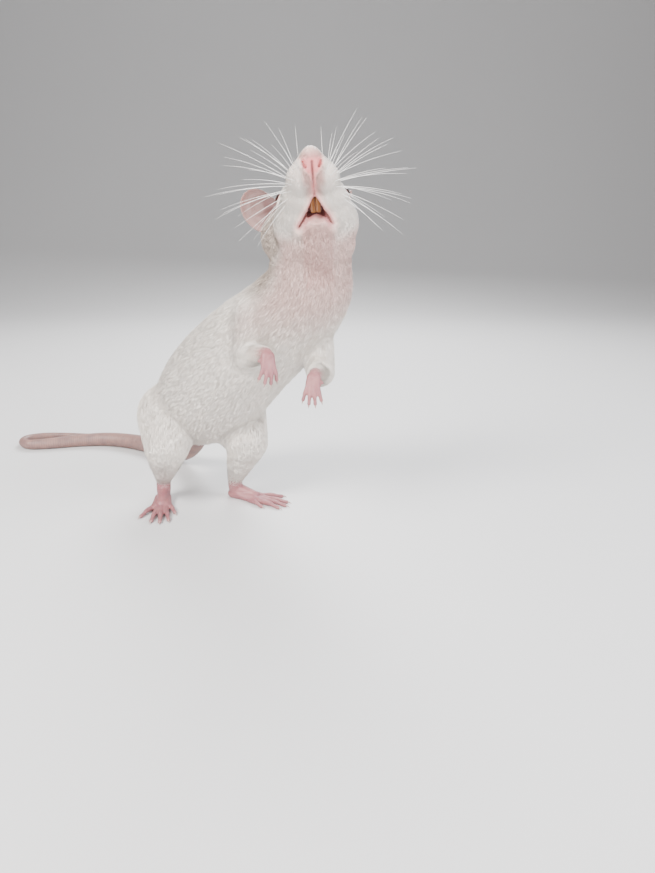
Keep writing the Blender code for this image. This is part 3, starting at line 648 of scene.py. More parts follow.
mouth = {
    "lining": None,  # a tree of the lining's points
    "creases": None,  # a tree of points along the creases at the corners
    "fade": None,  # and how much farther off than it is each of these counts as
    "farthest": 1.1,
    "lip": 1.25,
    "creaseHalf": 0.1,
    "corners": (
        ((-19.0, -3.1, -9.7), (-20.8, -4.5, -10.9), (-22.6, -5.7, -11.4), (-23.9, -6.4, -11.8)),
        ((-18.9, 3.0, -9.7), (-20.6, 4.2, -10.9), (-22.0, 4.75, -11.7), (-23.3, 5.0, -12.2)),
    ),
}


def treeOfPoints(points):
    tree = KDTree(len(points))
    for number, point in enumerate(points):
        tree.insert(point, number)
    tree.balance()
    return tree


def findMouth(points, faces):
    # The lining, and the creases that run on from the corners, laid onto the skin
    tree = treeOfFaces(points, faces)
    mouth["lining"] = treeOfPoints(findLining(points, faces))
    lines = np.vstack([smoothPath(corner, 16) for corner in mouth["corners"]])
    spots = [tree.find_nearest(Vector(spot))[0] for spot in onHead(lines)]
    mouth["creases"] = treeOfPoints(spots)
    share = np.linspace(0, 1, len(lines) // 2)
    mouth["fade"] = np.tile(mouth["farthest"] * ease(share, 0.55, 1.0), 2)


def mouthDistance(points):  # from the lining or a crease, whichever is nearer
    distance = np.full(len(points), 9.0)
    forward, left, up = headPlaces(points).T
    near = (forward > -32) & (forward < -6) & (np.abs(left) < 12) & (up < 0)
    for k in np.flatnonzero(near):
        _, number, crease = mouth["creases"].find(points[k])
        crease = max(crease - mouth["creaseHalf"], 0) + mouth["fade"][number]
        distance[k] = min(mouth["lining"].find(points[k])[2], crease)
    return distance


def lipShares(distance):  # lips and lining, from 0 to 1, at these distances from the mouth
    # The lining's share is what gets the near-black red of painted shade
    shadedInside = ease(distance, 0.4, 0.15)
    return ease(distance, mouth["lip"], 0.35) * (1 - shadedInside), shadedInside


def eyeDistance(points):  # from the nearer eye's centre
    places = headPlaces(points)
    places[:, 1] = np.abs(places[:, 1])
    return np.linalg.norm(places - np.array(pose["eye"]), axis=1)


def coatFields(points):
    # The fields of the body, with the coat's depth gone at the mouth and the eyes
    heading, depth, shares, runs = bodyFields(points)
    depth = depth * ease(mouthDistance(points), 0.5, 4.5) * ease(eyeDistance(points), 3.6, 6.2)
    return heading, depth, shares, runs


# Sculpting of the head
face = {
    "nostril": ((-3.8, 3.0, -4.3), (-4.4, 2.85, -4.7), (-4.9, 2.5, -4.9), (-5.4, 1.95, -5.3)),
    "nostrilRadius": 0.5,
    "nostrilDepth": 0.9,
    "philtrum": (-13.6, -3.8),  # where the cleft under the nose begins and ends
    "philtrumWidth": 0.36,
    "philtrumDepth": 0.55,
    "wing": 0.12,  # how far the skin round the nostrils rises
    "lipRise": 0.2,
    "creaseDepth": 0.65,
    "creaseWidth": 0.28,
    "pad": ((-10.4, -8.4, -6.0, -3.2), (0.3, 1.7, 3.4, 3.5)),  # bare skin's half widths by drop
    "lowerLip": ((0, 3.4, 4.6, 6.0), (-18.4, -19.2, -21.0, -23.2)),  # its edge, by left
    "ballReach": 4.8,  # how far from an eye's centre the lids are shaped
}


def dropBelowNose(points):  # height over the tip of the nose as the camera sees it
    forward, _, up = headPlaces(points).T
    return 0.92 * forward + 0.39 * up


def noseFields(points):
    # Nostrils, the cleft under the nose and the bare skin round them, from 0 to 1
    forward, left, up = headPlaces(points).T
    mirrored = np.column_stack([forward, np.abs(left), up])
    line = smoothPath(face["nostril"], 6)
    nostril = np.min([np.linalg.norm(mirrored - spot, axis=1) for spot in line], axis=0)
    under = ease(up, -2.2, -3.6)
    cleft = np.exp(-((left / face["philtrumWidth"]) ** 2)) * under
    low, high = face["philtrum"]
    cleft = cleft * ease(forward, low - 0.8, low) * ease(forward, high + 0.8, high)
    drop = dropBelowNose(points)
    top = drop + 2.2 + 0.06 * left**2
    width = np.interp(drop, *face["pad"])
    bare = ease(top, 0.3, -2.2) * ease(drop, -10.4, -7.8) * ease(np.abs(left) - width, 0.6, -0.4)
    strip = ease(np.abs(left), 1.7, 0.7) * ease(forward, low - 0.8, low + 1.2) * (forward < high)
    bare = np.maximum(bare, 0.75 * strip * under)
    return nostril, cleft, bare * ease(up, -1.5, -3.0)


def sculptFace(points, normals):
    nostril, cleft, _ = noseFields(points)
    pit = np.clip(1 - (nostril / face["nostrilRadius"]) ** 2, 0, 1) ** 0.8
    wing = np.exp(-(((nostril - 1.1) / 0.42) ** 2))
    inward = np.array([-0.35, 0, 0.94]) @ headAxes
    move = (face["nostrilDepth"] * pit + face["philtrumDepth"] * cleft)[:, None] * inward
    distance = mouthDistance(points)
    lips, _ = lipShares(distance)
    move += (face["wing"] * wing * (pit <= 0) + face["lipRise"] * lips)[:, None] * normals
    groove = np.zeros(len(points))
    for k in np.flatnonzero(distance < 1):
        _, number, crease = mouth["creases"].find(points[k])
        share = 1 - mouth["fade"][number] / mouth["farthest"]
        groove[k] = share * math.exp(-((crease / face["creaseWidth"]) ** 2))
    move += (face["creaseDepth"] * groove)[:, None] * inward
    return points + move


def fitLids(points, normals):
    # Skin round each eye, by the angle from the eye's axis: the socket's wall, which faces the
    # ball, goes under the ball's surface, and the lids' edge closes on it with a round rim
    for side in (-1, 1):
        centre = onHead(np.array(pose["eye"]) * (1, side, 1))
        out = unit(np.array(pose["eyeOut"]) * (1, side, 1)) @ headAxes
        offset = points - centre
        far = np.linalg.norm(offset, axis=1)
        near = far < face["ballReach"]
        ray = offset[near] / far[near, None]
        angle = np.degrees(np.arccos(np.clip(ray @ out, -1, 1)))
        facing = ease((normals[near] * ray).sum(1), -0.55, 0.35)
        wall = np.interp(angle, (54, 60, 68), (3.2, 3.0, 2.7))
        lid = np.interp(angle, (54, 60, 66, 74), (3.2, 3.4, 3.62, 3.85))
        strength = ease(angle, 84, 70)
        lid = far[near] * (1 - strength) + lid * strength
        wall = np.where(far[near] < 3.9, wall, far[near])
        wanted = wall * (1 - facing) + lid * facing
        points[near] = centre + ray * wanted[:, None]
    return points


# Ears: an oval cup, rolled at the edge, one closed shell whose rows run from the middle of
# the hollow side over the rim to the middle of the back
ears = {
    "width": 16,
    "height": 17.5,
    "rows": 18,
    "columns": 64,
    "right": {"base": (-26.8, -14.4, 8.2), "out": (-0.04, -0.90, 0.44), "rise": (1, -0.1, 0.05)},
    "left": {"base": (-30.5, 10.6, 9.4), "out": (-0.45, 0.16, 0.88), "rise": (0.88, 0.30, 0.2)},
}


def earShell(side):
    shape = ears[side]
    out = unit(np.array(shape["out"]) @ headAxes)
    rise = np.array(shape["rise"]) @ headAxes
    rise = unit(rise - out * (rise @ out))
    hollow = np.cross(rise, out) if side == "right" else np.cross(out, rise)
    root = onHead(shape["base"])
    share = np.linspace(0.02, 1, ears["rows"])[:, None]
    angle = np.linspace(0, 2 * math.pi, ears["columns"], endpoint=False)[None, :]
    along = np.cos(angle) * share
    across = np.sin(angle) * share
    narrow = 1 - 0.34 * np.maximum(0, -along) ** 1.5  # toward the ear's root
    cup = 0.36 * (1 - share**2.2) + 0.20 * np.maximum(0, -along)
    half = ears["width"] / 2
    roll = 0.075 * ease(share, 0.84, 1.0) * ease(np.sin(angle), -0.9, 0.3)
    ridge = 0.07 * np.exp(-(((share - 0.62) / 0.09) ** 2)) * ease(np.cos(angle), -0.5, 0.5)
    fold = 0.05 * np.exp(-(((across + 0.12 + 0.5 * along) / 0.09) ** 2)) * ease(share, 0.75, 0.4)
    depth = cup - roll - ridge - fold
    middle = root + half * (along + 0.62)[..., None] * out
    middle = middle + (0.5 * ears["height"] * across * narrow)[..., None] * rise
    middle = middle - half * depth[..., None] * hollow
    thick = (0.42 * np.sqrt(np.clip(1 - share**6, 0, 1)) + 0.04)[..., None] * hollow
    return closedRings(np.concatenate([middle + 0.5 * thick, (middle - 0.5 * thick)[::-1]]))


def earHollow():
    # How deep in the hollow each point of a shell lies, from 0 at the rim and on the back. The skin
    # is darkened by it there: painted shade in the ear's cup.
    share = np.linspace(0.02, 1, ears["rows"])
    angle = np.linspace(0, 2 * math.pi, ears["columns"], endpoint=False)
    deep = ease(share[:, None], 0.95, 0.25) * ease(-np.cos(angle)[None, :], -1.0, 0.6)
    deep = np.concatenate([deep, 0 * deep])
    return np.concatenate([deep.ravel(), deep[:1].mean(1), [0]])


tail = {
    "sides": 20,
    "step": 0.55,
    "start": 10.0,
    "underFur": ((10, 14, 18.5), (0.75, 0.84, 1)),  # runs, and the radius there as a share
    "tipLength": 2.2,
    "ringWidth": 1.1,
    "ringRise": 0.07,
}


def tailSurface():
    # Circles along the tail's path whose radius swells a little at each ring of scales
    line = smoothPath(stance(tailKnots), 12)
    run = runsAlong(line)
    stops = np.arange(tail["start"], run[-1], tail["step"])
    path = atRuns(stops, run, line)
    phase = (stops / tail["ringWidth"]) % 1
    radii = 0.988 * path[:, 3] + tail["ringRise"] * (np.sqrt(phase) - 0.5)
    left = (run[-1] - stops) / tail["tipLength"]
    radii = radii * np.interp(stops, *tail["underFur"]) * np.sqrt(np.clip(left, 0.02, 1))
    points, faces = closedRings(tube(path[:, :3], radii, tail["sides"]))
    return points, faces, np.concatenate([np.repeat(stops, tail["sides"]), stops[[0, -1]]])


def thinned(points, faces, keep, left):
    # Decimates the skin to the triangles left, apart from the vertices marked keep
    kept = keep[faces].all(axis=1).sum()
    lump = makeObject("thinning", points, faces)
    group = lump.vertex_groups.new(name="body")
    group.add(np.flatnonzero(~keep).tolist(), 1.0, "REPLACE")
    thin = lump.modifiers.new("thin", "DECIMATE")
    thin.ratio = (kept + left) / len(faces)
    thin.vertex_group = "body"
    thin.vertex_group_factor = 1000
    return takeObject(lump)


def finerFace(points, faces, chosen):
    # Splits the edges between chosen vertices, and so each triangle there in four
    def split(mesh):
        edges = [edge for edge in mesh.edges if all(chosen[v.index] for v in edge.verts)]
        bmesh.ops.subdivide_edges(mesh, edges=edges, cuts=1, use_grid_fill=True)

    return reworked(points, faces, split)


def nearFeatures(points, limits):
    # Which points are on the nose, at the mouth or at an eye: the nose from how far forward,
    # the mouth and the eyes within which distances
    noseFrom, mouthWithin, eyeWithin = limits
    features = (mouthDistance(points) < mouthWithin) | (eyeDistance(points) < eyeWithin)
    return headPlaces(points)[:, 0] > noseFrom, features


def makeSkin():
    # The fused flesh, smoothed, sunk by the coat's depth, thinned where the coat hides it, and
    # then sculpted at the nose, the mouth and the eyes
    points, faces = fusedFlesh()
    print("fused", len(points), "vertices")
    findMouth(points, faces)
    edges = edgesOf(faces)
    _, depth, _, _ = coatFields(points)
    bare = ease(depth, 0.5, 0.05)
    forward = headPlaces(points)[:, 0]
    points = relax(points, edges, 10, 1 - 0.6 * bare)
    points = relax(points, edges, 12, ease(forward, -12, -44) * (1 - bare))
    depth = depth[:, None]
    for turn in range(12):
        depth = neighbourMean(depth, edges, len(points))
    sunk = depth + skin["swell"] * (forward > -50)[:, None]
    points = points - sunk * vertexNormals(points, faces)
    points = relax(points, edges, 6, 0.8 * (1 - bare))

    nose, features = nearFeatures(points, skin["featured"])
    runs = coatFields(points)[3]
    footed = (points[:, 2] < 10) | (runs["fore_left"] > 35) | (runs["fore_right"] > 35)
    footed = footed & (headPlaces(points)[:, 0] < -48)
    points, faces = thinned(points, faces, nose | features | footed, skin["underCoat"])
    nose, features = nearFeatures(points, skin["featured"])
    points, faces = thinned(points, faces, nose | features, skin["notFace"])
    print("thinned", len(faces), "triangles")

    nose, features = nearFeatures(points, skin["fine"])
    forward, _, up = headPlaces(points).T
    rough = ease(forward, -14, -30) * ease(mouthDistance(points), 3, 5)
    rough = rough * ease(eyeDistance(points), 6, 8)
    _, depth, _, _ = coatFields(points)
    points = relax(points, edgesOf(faces), 16, rough * ease(depth, 0.4, 0.9))
    points, faces = finerFace(points, faces, (nose & (up < 0)) | features)
    findMouth(points, faces)
    points = sculptFace(points, vertexNormals(points, faces))
    points = fitLids(points, vertexNormals(points, faces))
    nose, features = nearFeatures(points, skin["fine"])
    nostril, _, _ = noseFields(points)
    soft = 0.5 * (nose | features) + 0.4 * ease(nostril, 2.0, 1.2)
    points = relax(points, edgesOf(faces), 3, soft)
    points[:, 2] = np.maximum(points[:, 2], 0)
    return points, faces


bodyPoints, bodyFaces = makeSkin()
findMouth(bodyPoints, bodyFaces)
print("body skin", len(bodyFaces), "triangles")


# Where the markings begin and end: a pair is where each is absent and where it is whole
marks = {
    "back": (-0.35, 0.87, 0.35),  # the way that the back faces
    "greyTanFrom": (19, 31),  # runs along the trunk from the nose
    "greyTanTo": (74, 56),
    "greyTanRise": (-0.30, 0.12),  # shares of the trunk's radius toward the back
    "stripeRise": (0.62, 0.9),
    "stripeTo": (124, 104),
    "onLimbs": (0.3, 0.8),
    "throatFrom": (-22, -28),  # forward of the tip of the nose
    "throatTo": (-62, -42),
    "throatRise": (0.05, -0.45),
    "rim": (3.2, 0.8),  # distances from the mouth
}


def markings(points):
    # A pale grey-tan patch over nape and shoulders, with a stripe down the back, and the pink where
    # the coat is thin. Skin and coat both read these.
    forward, left, up = headPlaces(points).T
    _, _, shares, runs = bodyFields(points)
    trunk = runs["trunk"]
    line = atRuns(trunk, runsAlong(bodyLines["trunk"]), bodyLines["trunk"])
    rise = (points - line[:, :3]) @ unit(marks["back"]) / line[:, 3]
    wave = 0.10 * np.sin(0.31 * points[:, 0] + 1.3 * np.sin(0.23 * points[:, 2]))
    wave = wave + 0.06 * np.sin(0.83 * points[:, 2] + 0.6 * points[:, 1])
    cape = ease(trunk, *marks["greyTanFrom"]) * ease(rise + wave, *marks["greyTanRise"])
    cape = cape * ease(trunk + 14 * wave, *marks["greyTanTo"])
    stripe = ease(rise + 0.4 * wave, *marks["stripeRise"]) * ease(trunk, *marks["stripeTo"])
    greyTan = np.maximum(cape, 0.8 * stripe)
    greyTan = greyTan * (1 - 0.9 * ease(1 - shares["trunk"], *marks["onLimbs"]))
    throat = ease(forward, *marks["throatFrom"]) * ease(forward, *marks["throatTo"])
    throat = throat * ease(rise, *marks["throatRise"])
    chin = ease(forward, -18, -21) * ease(up, -7, -10) * ease(np.abs(left), 8.5, 4)
    chin = 0.95 * chin * (forward > -40)
    pads = ease(forward, -18, -15) * ease(up, -2.2, -5) * ease(np.abs(left), 4.4, 1.0)
    rim = 0.7 * ease(mouthDistance(points), *marks["rim"])
    snout = ease(dropBelowNose(points), 0.6, -2.6) * ease(np.abs(left), 4.8, 2.6)
    snout = snout * ease(up, 0.2, -2.0) * ease(forward, -12, -8)
    return greyTan, np.maximum.reduce([0.8 * throat, chin, pads, rim, snout])


def bareFields(points):
    # Nose with its nostrils, lips, lining of the mouth, eyelids and feet, from 0 to 1. The lining's
    # share takes in the nostril pits and the cleft under the nose, all painted in shade.
    nostril, cleft, nose = noseFields(points)
    distance = mouthDistance(points)
    lips, shadedInside = lipShares(distance)
    lids = ease(eyeDistance(points), 3.78, 3.52)
    forward, left, _ = headPlaces(points).T
    below = forward - np.interp(np.abs(left), *face["lowerLip"])
    below = ease(below, 0.5, -0.3) * ease(np.abs(left), 6.0, 4.0)
    lips = np.maximum(lips, 0.85 * below * ease(distance, 3.4, 0.5))
    _, depth, _, _ = bodyFields(points)
    feet = ease(depth, 0.5, 0.1) * (forward < -46)
    # painted shade: the mouth's lining, the creases at its corners, the nostril pits and the cleft
    # all take the near-black red of shade
    shadedInside = np.maximum.reduce([shadedInside, 0.85 * ease(nostril, 0.65, 0.25), cleft])
    return np.maximum(nose, cleft), lips, shadedInside, lids, feet


def makeSkinObject():
    # Body, ears and tail as one mesh, and the values over it that the material reads
    tailPoints, tailFaces, tailRun = tailSurface()
    surfaces = [(bodyPoints, bodyFaces), earShell("right"), earShell("left")]
    points, faces, starts = joined([*surfaces, (tailPoints, tailFaces)])
    obj = makeObject("skin", points, faces)
    nose, lips, shadedInside, lids, feet = bareFields(bodyPoints)
    soft = np.column_stack([lips, shadedInside])
    for turn in range(2):
        soft = neighbourMean(soft, edgesOf(bodyFaces), len(bodyPoints))
    lips, shadedInside = soft.T
    greyTan, blush = markings(bodyPoints)
    onBody = {"greyTan": greyTan, "blush": blush, "nose": nose, "lips": np.maximum(lips, lids)}
    onBody |= {"shadedInside": shadedInside, "feet": feet}
    onEar, onTail = {"ear": 1, "earHollowShade": earHollow()}, {"tail": 1, "tailRun": tailRun}
    layers = {}
    for fields, start, end in zip((onBody, onEar, onEar, onTail), starts, starts[1:]):
        for name, values in fields.items():
            layers.setdefault(name, np.zeros(starts[-1]))[start:end] = values
    for name, values in layers.items():
        setValues(obj, name, values)
    return obj


skinObject = makeSkinObject()
print("skin", len(skinObject.data.polygons), "triangles")


# The coat: solid tufts. Where it is long each is a three-sided blade of two rings and a tip,
# where it is short a spike of one ring and a tip.
coat = {
    "blades": 118000,
    "spikes": 80000,
    "shortCoat": (0.5, 0.9),  # depths over which the tufts turn from spikes into blades
    "lengthByDepth": 4.0,  # a tuft's length over the coat's depth at its root
    "shortest": 0.65,
    "longest": 6.6,
    "lengthSpread": (0.8, 1.15),
    "lengthByEye": ((3.6, 5), (0.5, 1)),  # distances from an eye's centre, and shares
    "width": ((0.1, 0.4, 0.8, 1.6), (0.13, 0.18, 0.23, 0.32)),  # by the coat's depth
    "widthByForward": ((-90, -60), (1, 0.8)),
    "widthSpread": (0.75, 1.2),
    "density": ((0.1, 0.4, 0.8, 1.2), (20, 18, 11, 6)),  # by depth, as shares of the whole
    "sway": 0.14,  # how far a tuft turns aside from the lie
    "loft": (0.78, 1.02),  # height of the tips as a share of the coat's depth
    "sunk": 0.2,  # how far the roots lie under the skin
    "patch": 0.003,
    "mostInPiece": 196000,  # triangles
}


def unwrapPlace(points, shares, runs):
    # The skin unrolled: along each line of the body by run, and round it by angle. The trunk
    # takes the left seven tenths of the square, the limbs and the tail's root strips beside it.
    names = list(bodyLines)
    owner = np.argmax([shares[name] for name in names], axis=0)
    place = np.zeros((len(points), 2))
    for number, name in enumerate(names):
        mine = owner == number
        line, run = bodyLines[name][:, :3], runs[name][mine]
        stops = runsAlong(line)
        centre = atRuns(run, stops, line)
        ahead = atRuns(run, stops, unit(np.gradient(line, axis=0)))
        left = np.array([0.94, 0.30, -0.15])
        side = unit(left - ahead * (ahead @ left)[:, None])
        back = np.cross(side, ahead)
        offset = points[mine] - centre
        angle = np.arctan2((offset * side).sum(1), (offset * back).sum(1)) / (2 * math.pi) + 0.5
        share = run / stops[-1]
        if number == 0:
            across, down = 0.01 + 0.68 * angle, 0.01 + 0.97 * share
        else:
            across, down = 0.71 + 0.28 * angle, 0.01 + 0.195 * (number - 1 + share)
        place[mine] = np.column_stack([across, down])
    return place


def sampleRoots(points, faces, normals, field, density, count):
    # Random places on the triangles, as many for each square millimetre as the density asks
    a, b, c = (faces[:, k] for k in range(3))
    area = np.linalg.norm(np.cross(points[b] - points[a], points[c] - points[a]), axis=1) / 2
    chance = area * (density[a] + density[b] + density[c])
    pick = draw.choice(len(faces), count, p=chance / chance.sum())
    u, v = draw.random((2, count))
    over = u + v > 1
    u[over], v[over] = 1 - u[over], 1 - v[over]
    share = np.stack([1 - u - v, u, v])[..., None]
    corners = [faces[pick, k] for k in range(3)]

    def blend(values):
        return sum(s * values[k] for s, k in zip(share, corners))

    return blend(points), unit(blend(normals)), unit(blend(field))


def combedField(points, faces, normals):
    # The lie of the coat over the skin: the lines' directions laid into the surface and smoothed
    heading, _, _, _ = coatFields(points)
    middle = np.tile(pose["eye"], (len(points), 1))
    middle[:, 1] = middle[:, 1] * np.sign(headPlaces(points)[:, 1])
    away = unit(points - onHead(middle))
    heading = heading + 1.5 * ease(eyeDistance(points), 5.5, 3.8)[:, None] * away
    edges = edgesOf(faces)
    for turn in range(14):
        heading = heading - normals * (heading * normals).sum(1)[:, None]
        heading = unit(neighbourMean(unit(heading), edges, len(points)))
    return unit(heading - normals * (heading * normals).sum(1)[:, None])


def surfaceBelow(tree, targets):  # nearest skin point and its normal for each target
    places = np.empty_like(targets)
    normals = np.empty_like(targets)
    for k, target in enumerate(targets):
        spot, normal, _, _ = tree.find_nearest(target)
        places[k] = spot
        normals[k] = normal
    return places, normals


def tuftRings(root, normal, lie, depth, length, width, tree, blades):
    # A ring at the root, sunk in the skin, for blades a ring at half way, and the tip. What is
    # past the root stands over the skin below it, at shares of the coat's depth there.
    lie = unit(lie + np.cross(normal, lie) * draw.normal(0, coat["sway"], (len(root), 1)))
    side = unit(np.cross(normal, lie))
    end, endUp = surfaceBelow(tree, root + lie * length[:, None])
    loft = draw.uniform(*coat["loft"], len(root)) + 0.22 * (draw.random(len(root)) < 0.05)
    end = end + endUp * (depth * loft + 0.04)[:, None]
    half = 0.5 * width[:, None]
    base = root - coat["sunk"] * normal
    rings = [base - side * half, base + normal * half * 0.7, base + side * half]
    if blades:
        middle, middleUp = surfaceBelow(tree, root + lie * length[:, None] * 0.5)
        middle = middle + middleUp * (0.8 * depth * loft + 0.02)[:, None]
        half = half * 0.92
        rings += [middle - side * half, middle + middleUp * half * 0.5, middle + side * half]
    return np.stack([*rings, end], axis=1)


tuftShapes = {
    "blades": {
        "faces": ((0, 2, 1), (0, 1, 4), (0, 4, 3), (1, 2, 5), (1, 5, 4))
        + ((2, 0, 3), (2, 3, 5), (3, 4, 6), (4, 5, 6), (5, 3, 6)),
        "map": ((0.2, 0), (0.5, 0.1), (0.8, 0), (0.25, 0.5), (0.5, 0.6), (0.75, 0.5), (0.5, 1)),
    },
    "spikes": {
        "faces": ((0, 2, 1), (0, 1, 3), (1, 2, 3), (2, 0, 3)),
        "map": ((0.2, 0), (0.5, 0.2), (0.8, 0), (0.5, 1)),
    },
}


def coatPiece(name, kind, rings, place, values, lay):
    shape = tuftShapes[kind]
    count, corners = rings.shape[:2]
    faces = repeated(np.array(shape["faces"]), corners, count)
    obj = makeObject(name, rings.reshape(-1, 3), faces)
    corner = place[:, None, :] + coat["patch"] * (np.array(shape["map"]) - 0.5)[None]
    layer = obj.data.uv_layers.new(name="OFBake")
    layer.data.foreach_set("uv", corner.reshape(-1, 2)[faces.ravel()].astype(np.float32).ravel())
    for key, value in values.items():
        setValues(obj, key, np.repeat(value, corners))
    layer = obj.data.attributes.new("lay", "FLOAT_VECTOR", "POINT")
    layer.data.foreach_set("vector", np.repeat(lay, corners, axis=0).astype(np.float32).ravel())
    return obj


def coatOfKind(kind, root, normal, lie, depth, tree):
    # Tufts of one kind on the given roots, in pieces that each cover one stretch of the body
    count = len(root)
    _, _, shares, runs = coatFields(root)
    greyTan, blush = markings(root)
    place = unwrapPlace(root, shares, runs)
    length = np.clip(coat["lengthByDepth"] * depth + 0.4, coat["shortest"], coat["longest"])
    length = length * draw.uniform(*coat["lengthSpread"], count)
    length = length * np.interp(eyeDistance(root), *coat["lengthByEye"])
    width = np.interp(depth, *coat["width"])
    width = width * np.interp(headPlaces(root)[:, 0], *coat["widthByForward"])
    width = width * draw.uniform(*coat["widthSpread"], count) * 1
    rings = tuftRings(root, normal, lie, depth, length, width, tree, kind == "blades")
    tint = draw.random(count)
    owner = np.argmax([shares[name] for name in bodyLines], axis=0)
    order = np.lexsort((runs["trunk"], owner))
    limit = coat["mostInPiece"] // len(tuftShapes[kind]["faces"])
    parts = math.ceil(count / limit)
    made = []
    for number, chosen in enumerate(np.array_split(order, parts)):
        values = {"greyTan": greyTan[chosen], "blush": blush[chosen], "tint": tint[chosen]}
        name, lay = f"coat_{kind}_{number + 1}", normal[chosen]
        made.append(coatPiece(name, kind, rings[chosen], place[chosen], values, lay))
    return made


def makeCoat():
    # Hair is left out on bare skin, thin at the tail's root, and twice as dense on the face
    normals = vertexNormals(bodyPoints, bodyFaces)
    field = combedField(bodyPoints, bodyFaces, normals)
    _, depth, shares, runs = coatFields(bodyPoints)
    nose, lips, shadedInside, lids, _ = bareFields(bodyPoints)
    bald = ease(np.maximum.reduce([lips, shadedInside, lids]), 0.25, 0.6)
    hairy = ease(depth, 0.02, 0.1) * (1 - np.maximum(bald, ease(nose, 0.35, 0.85)))
    long = ease(depth, *coat["shortCoat"])
    forward = headPlaces(bodyPoints)[:, 0]
    hairy = hairy * (1 - 0.75 * (shares["tail"] > 0.5) * ease(runs["tail"], 9, 20))
    dense = hairy * np.interp(depth, *coat["density"])
    dense = dense * (1 + ease(forward, -85, -60))
    densities = {"blades": dense * long, "spikes": dense * (1 - long)}
    tree = treeOfFaces(bodyPoints, bodyFaces)
    made = []
    for kind, density in densities.items():
        count = coat[kind] // 1
        root, normal, lie = sampleRoots(bodyPoints, bodyFaces, normals, field, density, count)
        _, depth, _, _ = coatFields(root)
        made += coatOfKind(kind, root, normal, lie, np.maximum(depth, 0.08), tree)
    return made


coatPieces = makeCoat()
coatTotal = sum(len(piece.data.polygons) for piece in coatPieces)
print("coat", coatTotal, "triangles in", len(coatPieces), "pieces")


# Whiskers: fine tapering tubes from rows on each pad, bending back
whiskers = {
    "perSide": 28,
    "rows": 5,
    "perRow": 6,
    "angles": (80, -122),  # degrees from sideways of the first, and the turn to the last
    "lengths": (17, 13),  # of the shortest, and what the longest have more
    "back": (-0.9, 0, 0.35),  # the way that they bend
    "bend": 0.20,
    "radius": 0.09,
    "sides": 5,
    "stops": 14,
}


def makeWhiskers():
    draw = np.random.default_rng(3)
    row, step = np.indices((whiskers["rows"], whiskers["perRow"])).reshape(2, -1)
    row, step = row[: whiskers["perSide"]], step[: whiskers["perSide"]]
    share = (step + 0.35 * (row % 2)) / (whiskers["perRow"] - 0.6)
    made = []
    for side in (-1, 1):
        root = np.column_stack(
            [
                -8.0 - 8.0 * share + draw.normal(0, 0.15, len(row)),
                (5.1 + 4.4 * share - 0.28 * (row - 2) ** 2) * side,
                -5.9 + 1.75 * row + draw.normal(0, 0.12, len(row)),
            ]
        )
        angle = whiskers["angles"][0] + whiskers["angles"][1] * share
        angle = np.radians(angle + draw.normal(0, 5, len(row)))
        lift = 0.26 * (row - 2) - 0.06
        out = unit(np.column_stack([np.sin(angle), np.cos(angle) * side, lift]))
        shortest, more = whiskers["lengths"]
        length = shortest + more * np.sin(math.pi * np.clip(share, 0, 1))
        length = length * draw.uniform(0.8, 1.0, len(row))
        back = np.array(whiskers["back"]) + draw.normal(0, 0.12, (len(row), 3))
        run = np.linspace(-0.06, 1, whiskers["stops"])
        curl = whiskers["bend"] * np.sign(run)[None, :, None] * back[:, None]
        bend = curl * (run**2)[None, :, None]
        path = (out[:, None] * run[None, :, None] + bend) * length[:, None, None]
        radii = whiskers["radius"] * (1 - 0.75 * np.clip(run, 0, 1) ** 1.4)
        radii = radii * (1 - 0.25 * draw.random())
        for line in onHead(root[:, None] + path):
            made.append(tube(line, radii, whiskers["sides"], reference=headUp))
    return tubesObject("whiskers", np.stack(made))


whiskerObject = makeWhiskers()


# Eyes, teeth and claws


def makeEye(name, side):
    # A ball with its front swollen into the cornea, by the angle from the eye's axis
    centre = onHead(np.array(pose["eye"]) * (1, side, 1))
    out = unit(np.array(pose["eyeOut"]) * (1, side, 1)) @ headAxes
    across = unit(np.cross(out, headForward))
    upright = np.cross(across, out)
    polar = np.linspace(0.02, math.pi - 0.02, 30)[:, None]
    turn = np.linspace(0, 2 * math.pi, 44, endpoint=False)[None, :]
    radius = (pose["eyeRadius"] + 0.10 * np.exp(-((polar / 0.65) ** 2)))[..., None]
    ring = np.cos(turn)[..., None] * across + np.sin(turn)[..., None] * upright
    ball = np.cos(polar)[..., None] * out + np.sin(polar)[..., None] * ring
    return makeObject(name, *closedRings(centre + radius * ball))


def makeIncisor(name, side):
    # A curved peg, thinned from the back to a chisel edge at its lower end
    spine = [(-14.8, 0.86, -6.2), (-16.2, 0.88, -7.8), (-17.2, 0.88, -9.6), (-18.0, 0.84, -11.2)]
    path = onHead(smoothPath(np.array(spine) * (1, side, 1), 8))
    share = np.linspace(0, 1, len(path))
    radii = 0.80 * np.sqrt(np.clip((1 - share) / 0.05 + 0.4, 0, 1))
    thick = np.interp(share, (0, 0.6, 1), (0.95, 0.85, 0.35))[:, None, None]
    return makeObject(name, *closedRings(tube(path, radii, 20, flat=thick, reference=headForward)))


def makeClaws(name, kind):
    # Curved cones from the end of each toe, bending down
    made = []
    length = 1.9 if kind == "hind" else 1.35
    for side in ("left", "right"):
        _, knuckle, tip, up = toePlaces(kind, side)
        ahead = unit(tip - knuckle)
        radius = 0.82 * toes[kind + "Radius"]
        share = np.linspace(0, 1, 9)[None, :, None]
        start = tip + ahead * radius * 0.45 + up * 0.12
        path = start[:, None] + ahead[:, None] * length * share
        path = path + up * (0.34 * length * (share - 1.55 * share**2))
        path[..., 2] = np.maximum(path[..., 2], 0.12) if kind == "hind" else path[..., 2]
        radii = 0.34 * (1 - share[0, :, 0] ** 1.3) + 0.03
        made += [tube(line, radii, 10, reference=up) for line in path]
    return tubesObject(name, np.stack(made))


